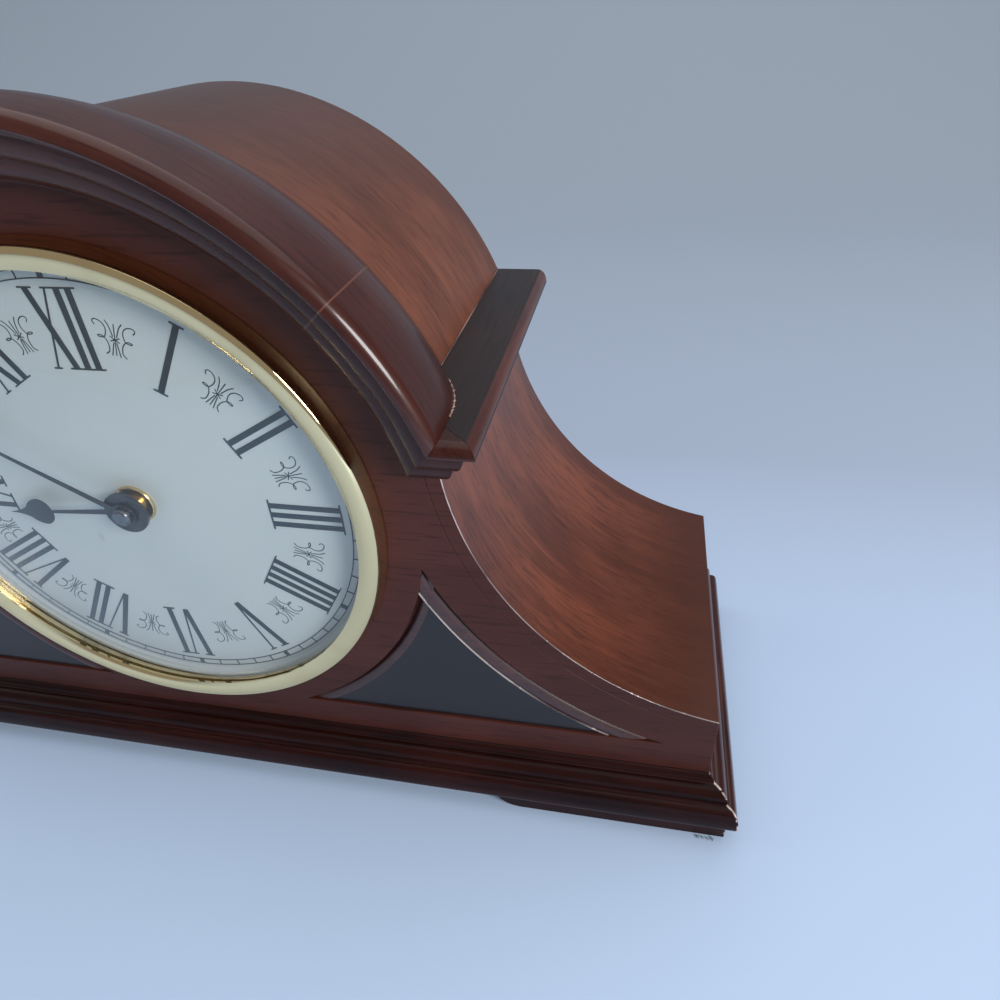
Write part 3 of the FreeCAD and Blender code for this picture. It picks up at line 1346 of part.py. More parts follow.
def make_hands():
    """The two spade hands at rest at ten to nine, and the cap nut that holds them."""
    hour = new_body("hour_hand")
    top = "face - hour_plane - hand_thickness"
    pad(hour, "XZ", top, "hand_thickness", hand_outline("hour_length", "hour_spade"))
    pad(hour, "XZ", "face - hour_plane - hour_boss_thickness", "hour_boss_thickness",
        circle("0", "0", "hour_boss_radius"))
    pocket(hour, "XZ", f"{top} - overrun", "hand_thickness + 2 * overrun",
           circle("0", "0", "hour_pipe_radius"))
    minute = new_body("minute_hand")
    top = "face - minute_plane - hand_thickness"
    pad(minute, "XZ", top, "hand_thickness", hand_outline("minute_length", "minute_spade"))
    pad(minute, "XZ", top, "hand_thickness", circle("0", "0", "minute_boss_radius"))
    pocket(minute, "XZ", f"{top} - overrun", "hand_thickness + 2 * overrun",
           circle("0", "0", "cannon_radius"))
    for hand, angle in ((hour, "hour_angle"), (minute, "minute_angle")):
        hand.Placement = FreeCAD.Placement(
            FreeCAD.Vector(), FreeCAD.Rotation(FreeCAD.Vector(0, 1, 0), value(angle)))
        hand.setExpression("Placement.Base.z", bound("dial_z"))
        hand.setExpression("Placement.Rotation.Angle", bound(angle))
    cap = new_body("hand_nut")
    turn_about(cap, "Y", "0", "dial_z", [
        ("face - minute_plane - hand_thickness - cap_height", "0"),
        ("face - minute_plane - hand_thickness - cap_height / 2", "0"),
        ("face - minute_plane - hand_thickness - cap_height / 2", "cannon_radius"),
        ("face - minute_plane - hand_thickness", "cannon_radius"),
        ("face - minute_plane - hand_thickness", "cap_radius"),
        ("face - minute_plane - hand_thickness - cap_height / 2", "cap_radius", CAP_SHARE),
        ("face - minute_plane - hand_thickness - cap_height", "cap_radius - cap_crown / 2"),
    ])


def make_electrics():
    """Circuit board, cells and their contacts."""
    board = slab("circuit_board", "XZ", "tray_floor + circuit_stand", "circuit_thickness", rectangle(
        "circuit_left", "circuit_right", "dial_z - circuit_low", "dial_z + circuit_high"))
    middle = "(circuit_left + circuit_right) / 2"
    pad(board, "XZ", "tray_floor + circuit_stand + circuit_thickness", "chip_height", rectangle(
        f"{middle} - chip_half", f"{middle} + chip_half",
        "dial_z + circuit_high / 2 - chip_half", "dial_z + circuit_high / 2 + chip_half"))
    cells = new_body("battery_pair")
    for level, sign in (("cell_low", 1), ("cell_high", -1)):
        profile = [
            ("0 - cell_end", "0"),
            ("cell_end", "0"),
            ("cell_end", "cell_cap_radius"),
            ("cell_end - cell_cap_length", "cell_cap_radius"),
            ("cell_end - cell_cap_length", "cell_radius"),
            ("0 - cell_end", "cell_radius"),
        ]
        turn_about(cells, "X", "cell_y", level, mirrored(profile, sign))
    contacts = [mirrored(rectangle("cell_end", "contact_end", f"{level} - contact_half",
                                   f"{level} + contact_half"), side)
                for side in (1, -1) for level in ("cell_low", "cell_high")]
    slab("battery_contacts", "XZ", "cell_y - contact_half", "2 * contact_half", *contacts)


def make_controls():
    """The volume knob and the chime selector on the back of the movement."""
    knob = new_body("volume_knob")
    turn_about(knob, "Y", "0 - volume_x", "control_z", [
        ("tray_back - volume_collar_length - control_clearance", "0"),
        ("knob_front + back_knob_height", "0"),
        ("knob_front + back_knob_height", "back_knob_radius"),
        ("knob_front", "back_knob_radius"),
        ("knob_front", "volume_shaft_radius"),
        ("tray_back - control_clearance", "volume_shaft_radius"),
        ("tray_back - control_clearance", "volume_collar_radius"),
        ("tray_back - volume_collar_length - control_clearance", "volume_collar_radius"),
    ])
    pocket(knob, "XZ", "knob_front + back_knob_height - volume_mark", "volume_mark + overrun", rectangle(
        "0 - volume_x - volume_mark / 2", "0 - volume_x + volume_mark / 2",
        "control_z + volume_shaft_radius", "control_z + back_knob_radius + overrun"))
    selector = new_body("chime_selector")
    flange = rectangle("selector_x - selector_flange_half", "selector_x + selector_flange_half",
                       "control_z - selector_half", "control_z + selector_half")
    pad(selector, "XZ", "tray_back - volume_collar_length - control_clearance", "volume_collar_length", flange)
    pad(selector, "XZ", "tray_back - control_clearance",
        "movement_cover_thickness + selector_height + control_clearance", rectangle(
            "selector_x - selector_neck_half", "selector_x + selector_neck_half",
            "control_z - selector_neck_half", "control_z + selector_neck_half"))


def make_speaker():
    """A small speaker that sounds down through the bottom board."""
    place = ("speaker_x", "speaker_y")
    frame = new_body("speaker_frame")
    top = "board_top + speaker_height"
    turn_about(frame, "Z", *place, [
        ("speaker_rim", "board_top"),
        ("speaker_radius", "board_top"),
        ("speaker_radius", "board_top + speaker_flange"),
        ("speaker_rim + speaker_wall", "board_top + speaker_flange"),
        ("speaker_neck", f"{top} - speaker_wall"),
        ("speaker_neck", top),
        ("speaker_vent", top),
        ("speaker_vent", f"{top} - speaker_wall"),
        ("speaker_neck - speaker_wall", f"{top} - speaker_wall"),
        ("speaker_rim", "board_top + speaker_flange"),
    ])
    cone = new_body("speaker_cone")
    turn_about(cone, "Z", *place, [
        ("speaker_rim", "board_top + cone_thickness / 2"),
        ("speaker_rim", "board_top + speaker_flange"),
        ("voice_coil_radius", f"{top} - cone_slope_drop"),
        ("voice_coil_radius", f"{top} - speaker_wall"),
        ("voice_coil_radius - cone_thickness", f"{top} - speaker_wall"),
        ("voice_coil_radius - cone_thickness", f"{top} - cone_slope_drop - cone_thickness"),
    ])
    magnet = new_body("speaker_magnet")
    turn_about(magnet, "Z", *place, rectangle("0", "magnet_radius", top, f"{top} + magnet_thickness"))


def check_objects():
    """Stops on a failed object, an empty or invalid shape, or a cut that takes nothing away."""
    for item in document.Objects:
        if "Invalid" in item.State or "Error" in item.State:
            raise RuntimeError(f"{item.Label} did not recompute")
        if item.isDerivedFrom("PartDesign::Pocket") or item.isDerivedFrom("PartDesign::Groove"):
            before = item.BaseFeature.Shape.Volume
            if item.Shape.Volume >= before * (1 - 1e-9):
                raise RuntimeError(f"{item.Label} cuts nothing")
    for name, item in nodes.items():
        if item.Shape.isNull() or not item.Shape.isValid() or not item.Shape.Solids:
            raise RuntimeError(f"{name} has no valid solid")


def main():
    """Builds every piece and writes one file for each node."""
    fill_sheet()
    make_front_panel()
    make_corner_panels()
    make_base()
    make_covers()
    make_crown()
    make_feet()
    make_back()
    make_door()
    make_dial()
    make_bezel()
    make_movement_case()
    make_motor()
    make_motion_work()
    make_hands()
    make_electrics()
    make_controls()
    make_speaker()
    document.recompute()
    check_objects()
    os.makedirs("parts", exist_ok=True)
    for name, item in nodes.items():
        item.Shape.exportStep(f"parts/{name}.step")
    print(len(nodes), "sub-parts")


main()
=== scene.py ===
import json
import logging
import math
from dataclasses import dataclass
from enum import Enum

import bmesh
import bpy
from mathutils import Matrix, Vector

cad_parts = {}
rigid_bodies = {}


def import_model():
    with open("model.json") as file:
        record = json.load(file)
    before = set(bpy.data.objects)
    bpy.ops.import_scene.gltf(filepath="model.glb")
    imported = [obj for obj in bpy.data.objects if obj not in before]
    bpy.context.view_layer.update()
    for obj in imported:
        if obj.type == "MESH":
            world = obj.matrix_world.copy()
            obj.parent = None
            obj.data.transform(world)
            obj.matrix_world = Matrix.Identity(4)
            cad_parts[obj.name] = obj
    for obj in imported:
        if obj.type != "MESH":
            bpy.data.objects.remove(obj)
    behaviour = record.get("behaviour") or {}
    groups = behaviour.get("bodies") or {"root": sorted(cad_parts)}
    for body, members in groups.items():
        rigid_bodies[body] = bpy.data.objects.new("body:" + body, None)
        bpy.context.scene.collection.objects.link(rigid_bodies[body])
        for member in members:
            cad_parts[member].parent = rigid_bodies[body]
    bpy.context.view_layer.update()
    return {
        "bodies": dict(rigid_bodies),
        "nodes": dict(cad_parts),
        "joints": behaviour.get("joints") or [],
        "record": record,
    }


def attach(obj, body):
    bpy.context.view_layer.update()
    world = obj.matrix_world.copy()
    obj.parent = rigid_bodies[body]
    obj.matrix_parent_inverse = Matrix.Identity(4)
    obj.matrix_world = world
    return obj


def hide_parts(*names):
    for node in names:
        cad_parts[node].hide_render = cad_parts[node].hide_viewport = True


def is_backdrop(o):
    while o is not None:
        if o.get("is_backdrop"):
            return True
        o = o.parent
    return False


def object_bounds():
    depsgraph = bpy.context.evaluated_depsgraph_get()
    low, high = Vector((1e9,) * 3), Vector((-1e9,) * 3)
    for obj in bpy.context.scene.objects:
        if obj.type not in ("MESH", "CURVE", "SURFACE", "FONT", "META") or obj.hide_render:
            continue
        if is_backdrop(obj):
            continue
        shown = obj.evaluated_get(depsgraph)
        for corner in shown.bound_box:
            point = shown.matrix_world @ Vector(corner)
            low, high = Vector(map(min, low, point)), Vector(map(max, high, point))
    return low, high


Colour = tuple[float, float, float]
Point = tuple[float, float]
Spot = tuple[float, float, float]
Rows = tuple[Spot, ...]
Cuts = tuple[tuple[Spot, Spot], ...]

log = logging.getLogger("mantel_clock")

MM = 0.001
SIDES = (("right", 1.0), ("left", -1.0))
UP, DOWN, BACKWARD = (0.0, 0.0, 1.0), (0.0, 0.0, -1.0), (0.0, 1.0, 0.0)

# Lengths of the case in millimetres, and angles in degrees past which an edge counts as sharp.
FACE = -51.3
BACK = 70.1
HALF_WIDTH = 200.0
DIAL_HEIGHT = 132.0
ARCH_RADIUS = 112.4
GRAIN_RADIUS = 112.0
ARRIS_ANGLE = 32.0
BOARD_ANGLE = 60.0
CASING_ANGLE = 50.0
TURNED_ANGLE = 40.0


class Grain(Enum):
    """How the wood's grain lies, as the noise scale along X, Y and Z."""

    ALONG_X = (22.0, 320.0, 320.0)
    ALONG_Y = (320.0, 22.0, 320.0)
    ROUND_THE_CURVE = (55.0, 430.0, 55.0)
    ROUND_THE_ARCH = (45.0, 430.0, 430.0)
    UPRIGHT = (320.0, 320.0, 22.0)


class Value:
    """A number that flows through a finish; Python's operators add its Math nodes."""

    def __init__(self, bench: "Bench", socket: bpy.types.NodeSocket) -> None:
        """Wraps one output socket.

        Args:
            bench: The finish's node bench.
            socket: The output that carries the number.
        """
        self.bench = bench
        self.socket = socket

    def _with(self, operation: str, *others: object) -> "Value":
        """Adds one Math node that starts from this value."""
        return self.bench.math(operation, self, *others)

    def __add__(self, other: object) -> "Value":
        """The sum."""
        return self._with("ADD", other)

    def __radd__(self, other: object) -> "Value":
        """The sum, with the number first."""
        return self._with("ADD", other)

    def __sub__(self, other: object) -> "Value":
        """The difference."""
        return self._with("SUBTRACT", other)

    def __rsub__(self, other: object) -> "Value":
        """The difference, with the number first."""
        return self.bench.math("SUBTRACT", other, self)

    def __mul__(self, other: object) -> "Value":
        """The product."""
        return self._with("MULTIPLY", other)

    def __rmul__(self, other: object) -> "Value":
        """The product, with the number first."""
        return self._with("MULTIPLY", other)

    def __pow__(self, other: object) -> "Value":
        """The power."""
        return self._with("POWER", other)

    def __abs__(self) -> "Value":
        """The size without its sign."""
        return self._with("ABSOLUTE")

    def clamped(self) -> "Value":
        """The value held between zero and one."""
        return self._with("MINIMUM", 1.0)._with("MAXIMUM", 0.0)

    def between(self, low: float, high: float) -> "Value":
        """A soft step that is zero at low and one at high.

        Args:
            low: Where the step starts.
            high: Where the step ends; below low, the step falls with a growing value.

        Returns:
            The step's value.
        """
        node = self.bench.node("ShaderNodeMapRange", {"interpolation_type": "SMOOTHSTEP"},
                               {"Value": self, "From Min": low, "From Max": high})
        return Value(self.bench, node.outputs["Result"])


class Bench:
    """The node tree of one finish."""

    def __init__(self, name: str) -> None:
        """Starts an empty material.

        Args:
            name: The material's name.
        """
        self.material = bpy.data.materials.new(name)
        self.material.use_nodes = True
        self.tree = self.material.node_tree
        self.tree.nodes.clear()
        self.coordinates = self.node("ShaderNodeTexCoord", {}, {}).outputs["Object"]
        self.route = self.coordinates

    def node(self, kind: str, settings: dict[str, object], inputs: dict[object, object]) -> bpy.types.Node:
        """Adds one node.

        Args:
            kind: The node's type.
            settings: Its own settings, and a ramp's stops under "stops".
            inputs: Values or links, by socket name or number.

        Returns:
            The node.
        """
        node = self.tree.nodes.new(kind)
        for key, setting in settings.items():
            if key == "stops":
                ramp = node.color_ramp
                while len(ramp.elements) < len(setting):
                    ramp.elements.new(0.5)
                for element, (place, colour) in zip(ramp.elements, setting):
                    element.position = place
                    element.color = (*colour, 1.0)
            else:
                setattr(node, key, setting)
        for key, item in inputs.items():
            target = node.inputs[key]
            if isinstance(item, Value):
                self.tree.links.new(item.socket, target)
            elif isinstance(item, bpy.types.NodeSocket):
                self.tree.links.new(item, target)
            elif isinstance(item, tuple) and target.type == "RGBA" and len(item) == 3:
                target.default_value = (*item, 1.0)
            else:
                target.default_value = item
        return node

    def math(self, operation: str, *items: object) -> Value:
        """Adds one Math node and gives its result."""
        node = self.node("ShaderNodeMath", {"operation": operation}, dict(enumerate(items)))
        return Value(self, node.outputs[0])

    def go_round(self, height: float, radius: float) -> None:
        """Lets the noise follow the arch: along it, through the depth, and outward.

        Args:
            height: The arch's centre over the floor, in metres.
            radius: The radius at which the way along the arch keeps its length, in metres.
        """
        across, up = self.axis("X"), self.axis("Z") - height
        apart = (across * across + up * up) ** 0.5
        joined = self.node("ShaderNodeCombineXYZ", {}, {
            "X": self.math("ARCTAN2", across, up) * radius, "Y": self.axis("Y"), "Z": apart})
        self.route = joined.outputs[0]

    def noise(self, scale: Spot, detail: float = 5.0, distortion: float = 0.0,
              offset: Spot = (0.0, 0.0, 0.0)) -> Value:
        """Noise on the object's own coordinates.

        Args:
            scale: Its frequency along each axis, per metre.
            detail: The number of octaves.
            distortion: How much it is bent.
            offset: Where it starts.

        Returns:
            The noise's value.
        """
        mapped = self.node("ShaderNodeMapping", {}, {
            "Vector": self.route, "Scale": scale, "Location": offset})
        made = self.node("ShaderNodeTexNoise", {}, {
            "Vector": mapped.outputs[0], "Scale": 1.0, "Detail": detail, "Distortion": distortion})
        return Value(self, made.outputs[0])

    def axis(self, letter: str) -> Value:
        """One of the object's own coordinates, in metres."""
        apart = self.node("ShaderNodeSeparateXYZ", {}, {0: self.coordinates})
        return Value(self, apart.outputs[letter])

    def mix(self, factor: object, low: object, high: object) -> bpy.types.NodeSocket:
        """A mix of two colours."""
        node = self.node("ShaderNodeMix", {"data_type": "RGBA"}, {0: factor, 6: low, 7: high})
        return node.outputs[2]

    def ramp(self, factor: Value, stops: list[tuple[float, Colour]]) -> bpy.types.NodeSocket:
        """A colour that follows a value through stops."""
        return self.node("ShaderNodeValToRGB", {"stops": stops}, {"Fac": factor}).outputs[0]

    def bump(self, height: Value, strength: float, distance: float) -> bpy.types.NodeSocket:
        """A relief of the surface."""
        node = self.node("ShaderNodeBump", {}, {
            "Height": height, "Strength": strength, "Distance": distance})
        return node.outputs[0]

    def shade(self, inputs: dict[str, object]) -> bpy.types.Material:
        """Ends the tree in one Principled shader.

        Args:
            inputs: The shader's values and links by name.

        Returns:
            The finished material.
        """
        shader = self.node("ShaderNodeBsdfPrincipled", {}, inputs)
        return self.end(shader.outputs[0])

    def end(self, socket: bpy.types.NodeSocket) -> bpy.types.Material:
        """Links a shader to the output."""
        self.node("ShaderNodeOutputMaterial", {}, {"Surface": socket})
        return self.material


def scaled(numbers: tuple[float, ...], factor: float) -> tuple[float, ...]:
    """Every number of a colour or a scale times one factor."""
    return tuple(factor * number for number in numbers)


@dataclass(frozen=True)
class Wood:
    """Stained and lacquered mahogany.

    Attributes:
        name: The finish's name.
        deep: The colour of the dark fibres.
        warm: The colour of the light fibres.
        grain: How the grain lies.
        roughness: The roughness of the wood under its lacquer.
        coat: How much lacquer lies on it.
        coat_roughness: The lacquer's roughness.
        figure: The share of the slow figure in the tone; the rest is fibres.
        chips: How much of it is chipped, from zero to one.
        level: The wood's own shine.
        joint: The angle from upright, in radians, at which a glued joint's line crosses it, or zero.
        mitre: X plus Y, in metres, on the mitre whose arris is worn, or zero.
        painted_shade: The distances from the middle, in metres, at which a painted shade, standing in for less
            light falling there, starts and is full.
    """

    name: str
    deep: Colour
    warm: Colour
    grain: Grain
    roughness: float = 0.42
    coat: float = 0.6
    coat_roughness: float = 0.16
    figure: float = 0.5
    chips: float = 0.0
    level: float = 0.2
    joint: float = 0.0
    mitre: float = 0.0
    painted_shade: tuple[float, float] = (0.0, 0.0)

    def make(self) -> bpy.types.Material:
        """Short fibres over a slow cloudy figure, fine pores, and what use has done to them.

        Returns:
            The material.
        """
        bench = Bench(self.name)
        steps = self.grain.value
        if self.grain is Grain.ROUND_THE_ARCH:
            bench.go_round(DIAL_HEIGHT * MM, GRAIN_RADIUS * MM)
        fibres = bench.noise(steps, detail=4.0, distortion=0.4)
        pores = bench.noise(scaled(steps, 2.3), detail=2.0, distortion=0.2, offset=(0.3, 0.7, 0.1))
        bands = bench.noise(scaled(steps, 0.16), detail=3.0, distortion=0.7, offset=(0.2, 0.6, 0.4))
        cloud = bench.noise((13.0, 17.0, 13.0), detail=3.0, distortion=0.8, offset=(0.5, 0.2, 0.9))
        tone = fibres * (1.0 - self.figure) + (cloud * 0.6 + bands * 0.4) * self.figure
        colour = bench.mix(tone.between(0.36, 0.64), self.deep, self.warm)
        colour = bench.mix(pores.between(0.55, 0.66) * 0.50, colour, scaled(self.deep, 0.4))
        return bench.shade({
            "Base Color": self.aged_and_shaded(bench, colour),
            "Specular IOR Level": self.level,
            "Roughness": (cloud * 0.14 + pores * 0.1 + (self.roughness - 0.12)).clamped(),
            "Coat Weight": self.coat,
            "Coat Roughness": self.coat_roughness,
            "Normal": bench.bump(pores * 0.6 + fibres * 0.4, strength=0.05, distance=0.0002),
        })

    def aged_and_shaded(self, bench: Bench, colour: bpy.types.NodeSocket) -> bpy.types.NodeSocket:
        """Adds the chips, the painted shade, the glued joint and the worn mitre to the wood's colour.

        Args:
            bench: The finish's node bench.
            colour: The sound wood's colour.

        Returns:
            The aged wood's colour.
        """
        if self.chips:
            spots = bench.noise((150.0, 150.0, 150.0), detail=4.0, distortion=1.2, offset=(0.1, 0.4, 0.6))
            chipped = spots.between(0.72 - 0.1 * self.chips, 0.75 - 0.1 * self.chips)
            colour = bench.mix(chipped, colour, (0.62, 0.52, 0.46))
        # Painted shade: the colour darkens between two distances from the middle, standing in for less light on
        # that part of the curve.
        if any(self.painted_shade):
            shade_amount = abs(bench.axis("X")).between(*self.painted_shade)
            colour = bench.mix(shade_amount * 0.85, colour, scaled(self.deep, 0.62))
        if self.joint:
            across = abs(bench.axis("X")) * math.sin(self.joint) \
                - (bench.axis("Z") - DIAL_HEIGHT * MM) * math.cos(self.joint)
            line = 1.0 - abs(across).between(0.00010, 0.00035)
            colour = bench.mix(line * 0.45, colour, (0.22, 0.09, 0.06))
        if self.mitre:
            across = abs(abs(bench.axis("X")) + bench.axis("Y") - self.mitre)
            flakes = bench.noise((170.0, 170.0, 320.0), detail=3.0, distortion=0.8, offset=(0.7, 0.2, 0.3))
            worn = (1.0 - across.between(0.0002, 0.0008)) * flakes.between(0.47, 0.56)
            colour = bench.mix(worn, colour, (0.70, 0.60, 0.55))
        return colour


@dataclass(frozen=True)
class Metal:
    """Plated or plain metal, from mirror bright to brushed."""

    name: str
    colour: Colour
    tarnish: Colour
    roughness: float
    smears: float = 0.3

    def make(self) -> bpy.types.Material:
        """A metal with faint smears and a little tarnish.

        Returns:
            The material.
        """
        bench = Bench(self.name)
        film = bench.noise((35.0, 35.0, 35.0), detail=4.0, distortion=1.0)
        fine = bench.noise((420.0, 420.0, 420.0), detail=3.0)
        return bench.shade({
            "Base Color": bench.mix(film.between(0.5, 0.75) * self.smears, self.colour, self.tarnish),
            "Metallic": 1.0,
            "Roughness": film * (0.5 * self.smears * self.roughness) + fine * (0.4 * self.roughness)
            + 0.6 * self.roughness,
            "Normal": bench.bump(fine, strength=0.02, distance=0.0001),
        })


@dataclass(frozen=True)
class Moulded:
    """Moulded plastic, paint, print or paper with a fine tooth."""

    name: str
    colour: Colour
    shift: Colour
    roughness: float
    tooth: float = 900.0
    depth: float = 0.05
    coat: float = 0.0

    def make(self) -> bpy.types.Material:
        """A plain colour with a slow drift, a fine tooth and uneven gloss.

        Returns:
            The material.
        """
        bench = Bench(self.name)
        drift = bench.noise((24.0, 24.0, 24.0), detail=4.0, distortion=0.5)
        tooth = bench.noise((self.tooth,) * 3, detail=2.0)
        return bench.shade({
            "Base Color": bench.mix(drift.between(0.3, 0.7), self.colour, self.shift),
            "Roughness": (drift * 0.12 + (self.roughness - 0.06)).clamped(),
            "Coat Weight": self.coat,
            "Coat Roughness": 0.1,
            "Normal": bench.bump(tooth, strength=self.depth, distance=0.0002),
        })


@dataclass(frozen=True)
class Felt:
    """Dark green felt."""

    name: str = "green_felt"
    colour: Colour = (0.012, 0.040, 0.022)
    lint: Colour = (0.035, 0.075, 0.050)

    def make(self) -> bpy.types.Material:
        """Matted fibres with a soft sheen.

        Returns:
            The material.
        """
        bench = Bench(self.name)
        fibres = bench.noise((1500.0, 1500.0, 600.0), detail=4.0, distortion=1.5)
        return bench.shade({
            "Base Color": bench.mix(fibres.between(0.35, 0.7), self.colour, self.lint),
            "Roughness": 0.95,
            "Sheen Weight": 0.4,
            "Normal": bench.bump(fibres, strength=0.6, distance=0.0005),
        })


@dataclass(frozen=True)
class Glass:
    """Clear glass that lets the light on the dial through."""

    name: str = "domed_glass"
    tint: Colour = (0.97, 0.985, 0.99)
    shine_seen_flat: float = 0.035
    shine_at_the_rim: float = 0.9

    def make(self) -> bpy.types.Material:
        """Transparent, with the reflection growing towards the rim.

        Returns:
            The material.
        """
        bench = Bench(self.name)
        clear = bench.node("ShaderNodeBsdfTransparent", {}, {"Color": self.tint})
        shine = bench.node("ShaderNodeBsdfPrincipled", {}, {
            "Base Color": (1.0, 1.0, 1.0), "Metallic": 1.0, "Roughness": 0.03})
        facing = Value(bench, bench.node("ShaderNodeLayerWeight", {}, {"Blend": 0.5}).outputs["Facing"])
        mixed = bench.node("ShaderNodeMixShader", {}, {
            0: facing ** 5.0 * self.shine_at_the_rim + self.shine_seen_flat,
            1: clear.outputs[0], 2: shine.outputs[0]})
        return bench.end(mixed.outputs[0])


@dataclass(frozen=True)
class Sheet:
    """The pale paper sweep that the clock stands on, with painted shade that darkens it towards the back."""

    name: str = "paper_sweep"
    near: float = -0.45
    far: float = 1.2

    def make(self) -> bpy.types.Material:
        """A colour that follows the depth of the room, as painted shade.

        Returns:
            The material.
        """
        bench = Bench(self.name)
        # Painted shade: the paper's colour darkens from the front towards the back.
        colour = bench.ramp(bench.axis("Y").between(self.near, self.far), [
            (0.0, (0.54, 0.70, 0.93)), (0.20, (0.49, 0.63, 0.85)),
            (0.36, (0.39, 0.47, 0.61)), (1.0, (0.37, 0.44, 0.52))])
        return bench.shade({"Base Color": colour, "Roughness": 0.85, "Specular IOR Level": 0.1})


class Finishes:
    """Every finish of the clock, made once."""

    CROWN_JOINT = math.radians(40.5)
    BASE_MITRE = 0.1487

    def __init__(self) -> None:
        """Makes the materials and files them by name."""
        self.made = {finish.name: finish.make() for finish in (
            *self.woods(), *self.others(), Felt(), Glass(), Sheet())}

    def woods(self) -> tuple[Wood, ...]:
        """The case's woods; their numbers are roughness, coat, the coat's roughness and figure.

        Returns:
            The finishes.
        """
        joint, mitre = self.CROWN_JOINT, self.BASE_MITRE
        return (
            Wood("panel_mahogany", (0.052, 0.0130, 0.0085), (0.078, 0.0210, 0.0145), Grain.ALONG_X,
                 0.50, 0.12, 0.25, 0.85),
            Wood("crown_mahogany", (0.034, 0.0055, 0.0030), (0.064, 0.0160, 0.0095), Grain.ROUND_THE_ARCH,
                 0.40, 0.32, 0.16, 0.8, joint=joint),
            Wood("nose_lacquer", (0.038, 0.0065, 0.0036), (0.068, 0.0165, 0.0098), Grain.ROUND_THE_ARCH,
                 0.36, 0.55, 0.12, 0.8, joint=joint),
            # Painted shade: the base's front and the feet are far darker than the same wood on the side runs.
            Wood("shaded_base_mahogany", (0.008, 0.0010, 0.0006), (0.026, 0.0038, 0.0024), Grain.ALONG_X,
                 0.40, 0.15, 0.20, 0.7, level=0.1, mitre=mitre),
            Wood("ledge_mahogany", (0.012, 0.0045, 0.0035), (0.024, 0.010, 0.008), Grain.ALONG_Y,
                 0.46, 0.10, 0.2, 0.7, level=0.3),
            Wood("side_mahogany", (0.026, 0.0050, 0.0036), (0.062, 0.0150, 0.0100), Grain.ALONG_Y,
                 0.34, 0.6, 0.14, 0.7, mitre=mitre),
            Wood("corner_bead", (0.034, 0.0085, 0.0070), (0.066, 0.0190, 0.0150), Grain.ALONG_X,
                 0.36, 0.8, 0.34, 0.7, level=0.3),
            # The veneers carry painted shade: the arch is darker towards its top, the shoulders darker towards
            # their outer ends.
            Wood("arch_veneer", (0.095, 0.0255, 0.0105), (0.200, 0.0630, 0.0300), Grain.ROUND_THE_ARCH,
                 0.46, 0.34, 0.28, 0.70, painted_shade=(0.108, 0.015)),
            Wood("shoulder_veneer", (0.085, 0.0200, 0.0080), (0.195, 0.0530, 0.0225),
                 Grain.ROUND_THE_CURVE, 0.42, 0.42, 0.24, 0.72, painted_shade=(0.138, 0.198)),
            # Worn edge with painted highlight: the near-white light fibres stand for rubbed-through lacquer and
            # for the shine of light along the arrises.
            Wood("worn_and_highlit_edge", (0.045, 0.016, 0.012), (0.85, 0.76, 0.72), Grain.ROUND_THE_CURVE,
                 0.26, 0.9, 0.12, 0.85, chips=0.7),
            # Painted highlight: a brighter red for the ledges' rounded outer edge, where it faces the light.
            Wood("red_edge_highlight", (0.050, 0.0110, 0.0055), (0.110, 0.0260, 0.0130), Grain.ALONG_Y,
                 0.34, 0.5, 0.14, 0.6),
            Wood("soft_edge", (0.030, 0.0075, 0.0055), (0.075, 0.0200, 0.0150), Grain.ROUND_THE_CURVE,
                 0.30, 0.7, 0.13, 0.5),
            Wood("backboard", (0.055, 0.028, 0.016), (0.085, 0.045, 0.026), Grain.UPRIGHT, 0.6, 0.1, 0.4),
        )

    def others(self) -> tuple[Moulded | Metal, ...]:
        """Metals, with their roughness, and the rest, with roughness, tooth, its depth and coat.

        Returns:
            The finishes.
        """
        return (
            Metal("bright_brass", (0.90, 0.72, 0.40), (0.70, 0.50, 0.24), 0.045),
            Metal("plain_brass", (0.75, 0.56, 0.27), (0.50, 0.34, 0.15), 0.25),
            Metal("plain_steel", (0.55, 0.55, 0.56), (0.35, 0.34, 0.33), 0.32),
            Metal("dark_steel", (0.20, 0.20, 0.21), (0.12, 0.12, 0.12), 0.30),
            Metal("copper_wire", (0.72, 0.33, 0.16), (0.45, 0.19, 0.09), 0.3),
            Moulded("dark_inlay", (0.009, 0.0065, 0.009), (0.013, 0.010, 0.013), 0.40, 1400.0, 0.04, 0.1),
            Moulded("dial_enamel", (0.58, 0.615, 0.59), (0.61, 0.64, 0.61), 0.42, 700.0, 0.015, 0.15),
            Moulded("old_glue", (0.14, 0.065, 0.045), (0.50, 0.38, 0.31), 0.4, 900.0, 0.6, 0.3),
            Moulded("dial_print", (0.018, 0.030, 0.038), (0.030, 0.044, 0.052), 0.5, 1100.0),
            Moulded("hand_paint", (0.012, 0.012, 0.014), (0.018, 0.018, 0.020), 0.35, 900.0, 0.03, 0.3),
            Moulded("black_plastic", (0.020, 0.020, 0.022), (0.028, 0.028, 0.030), 0.55, 1600.0, 0.2),
            Moulded("solder_mask", (0.015, 0.10, 0.045), (0.02, 0.13, 0.06), 0.35, 800.0, 0.05, 0.3),
            Moulded("cell_jacket", (0.055, 0.055, 0.060), (0.07, 0.07, 0.075), 0.28, 500.0, 0.02, 0.5),
            Moulded("speaker_paper", (0.030, 0.030, 0.030), (0.045, 0.045, 0.044), 0.8, 2200.0, 0.35),
        )

    def __getitem__(self, name: str) -> bpy.types.Material:
        """The material of one finish."""
        return self.made[name]


def waver(place: float, *waves: Point) -> float:
    """The sum at one place of sine waves, each given as its height and its rate."""
    return sum(height * math.sin(rate * place) for height, rate in waves)


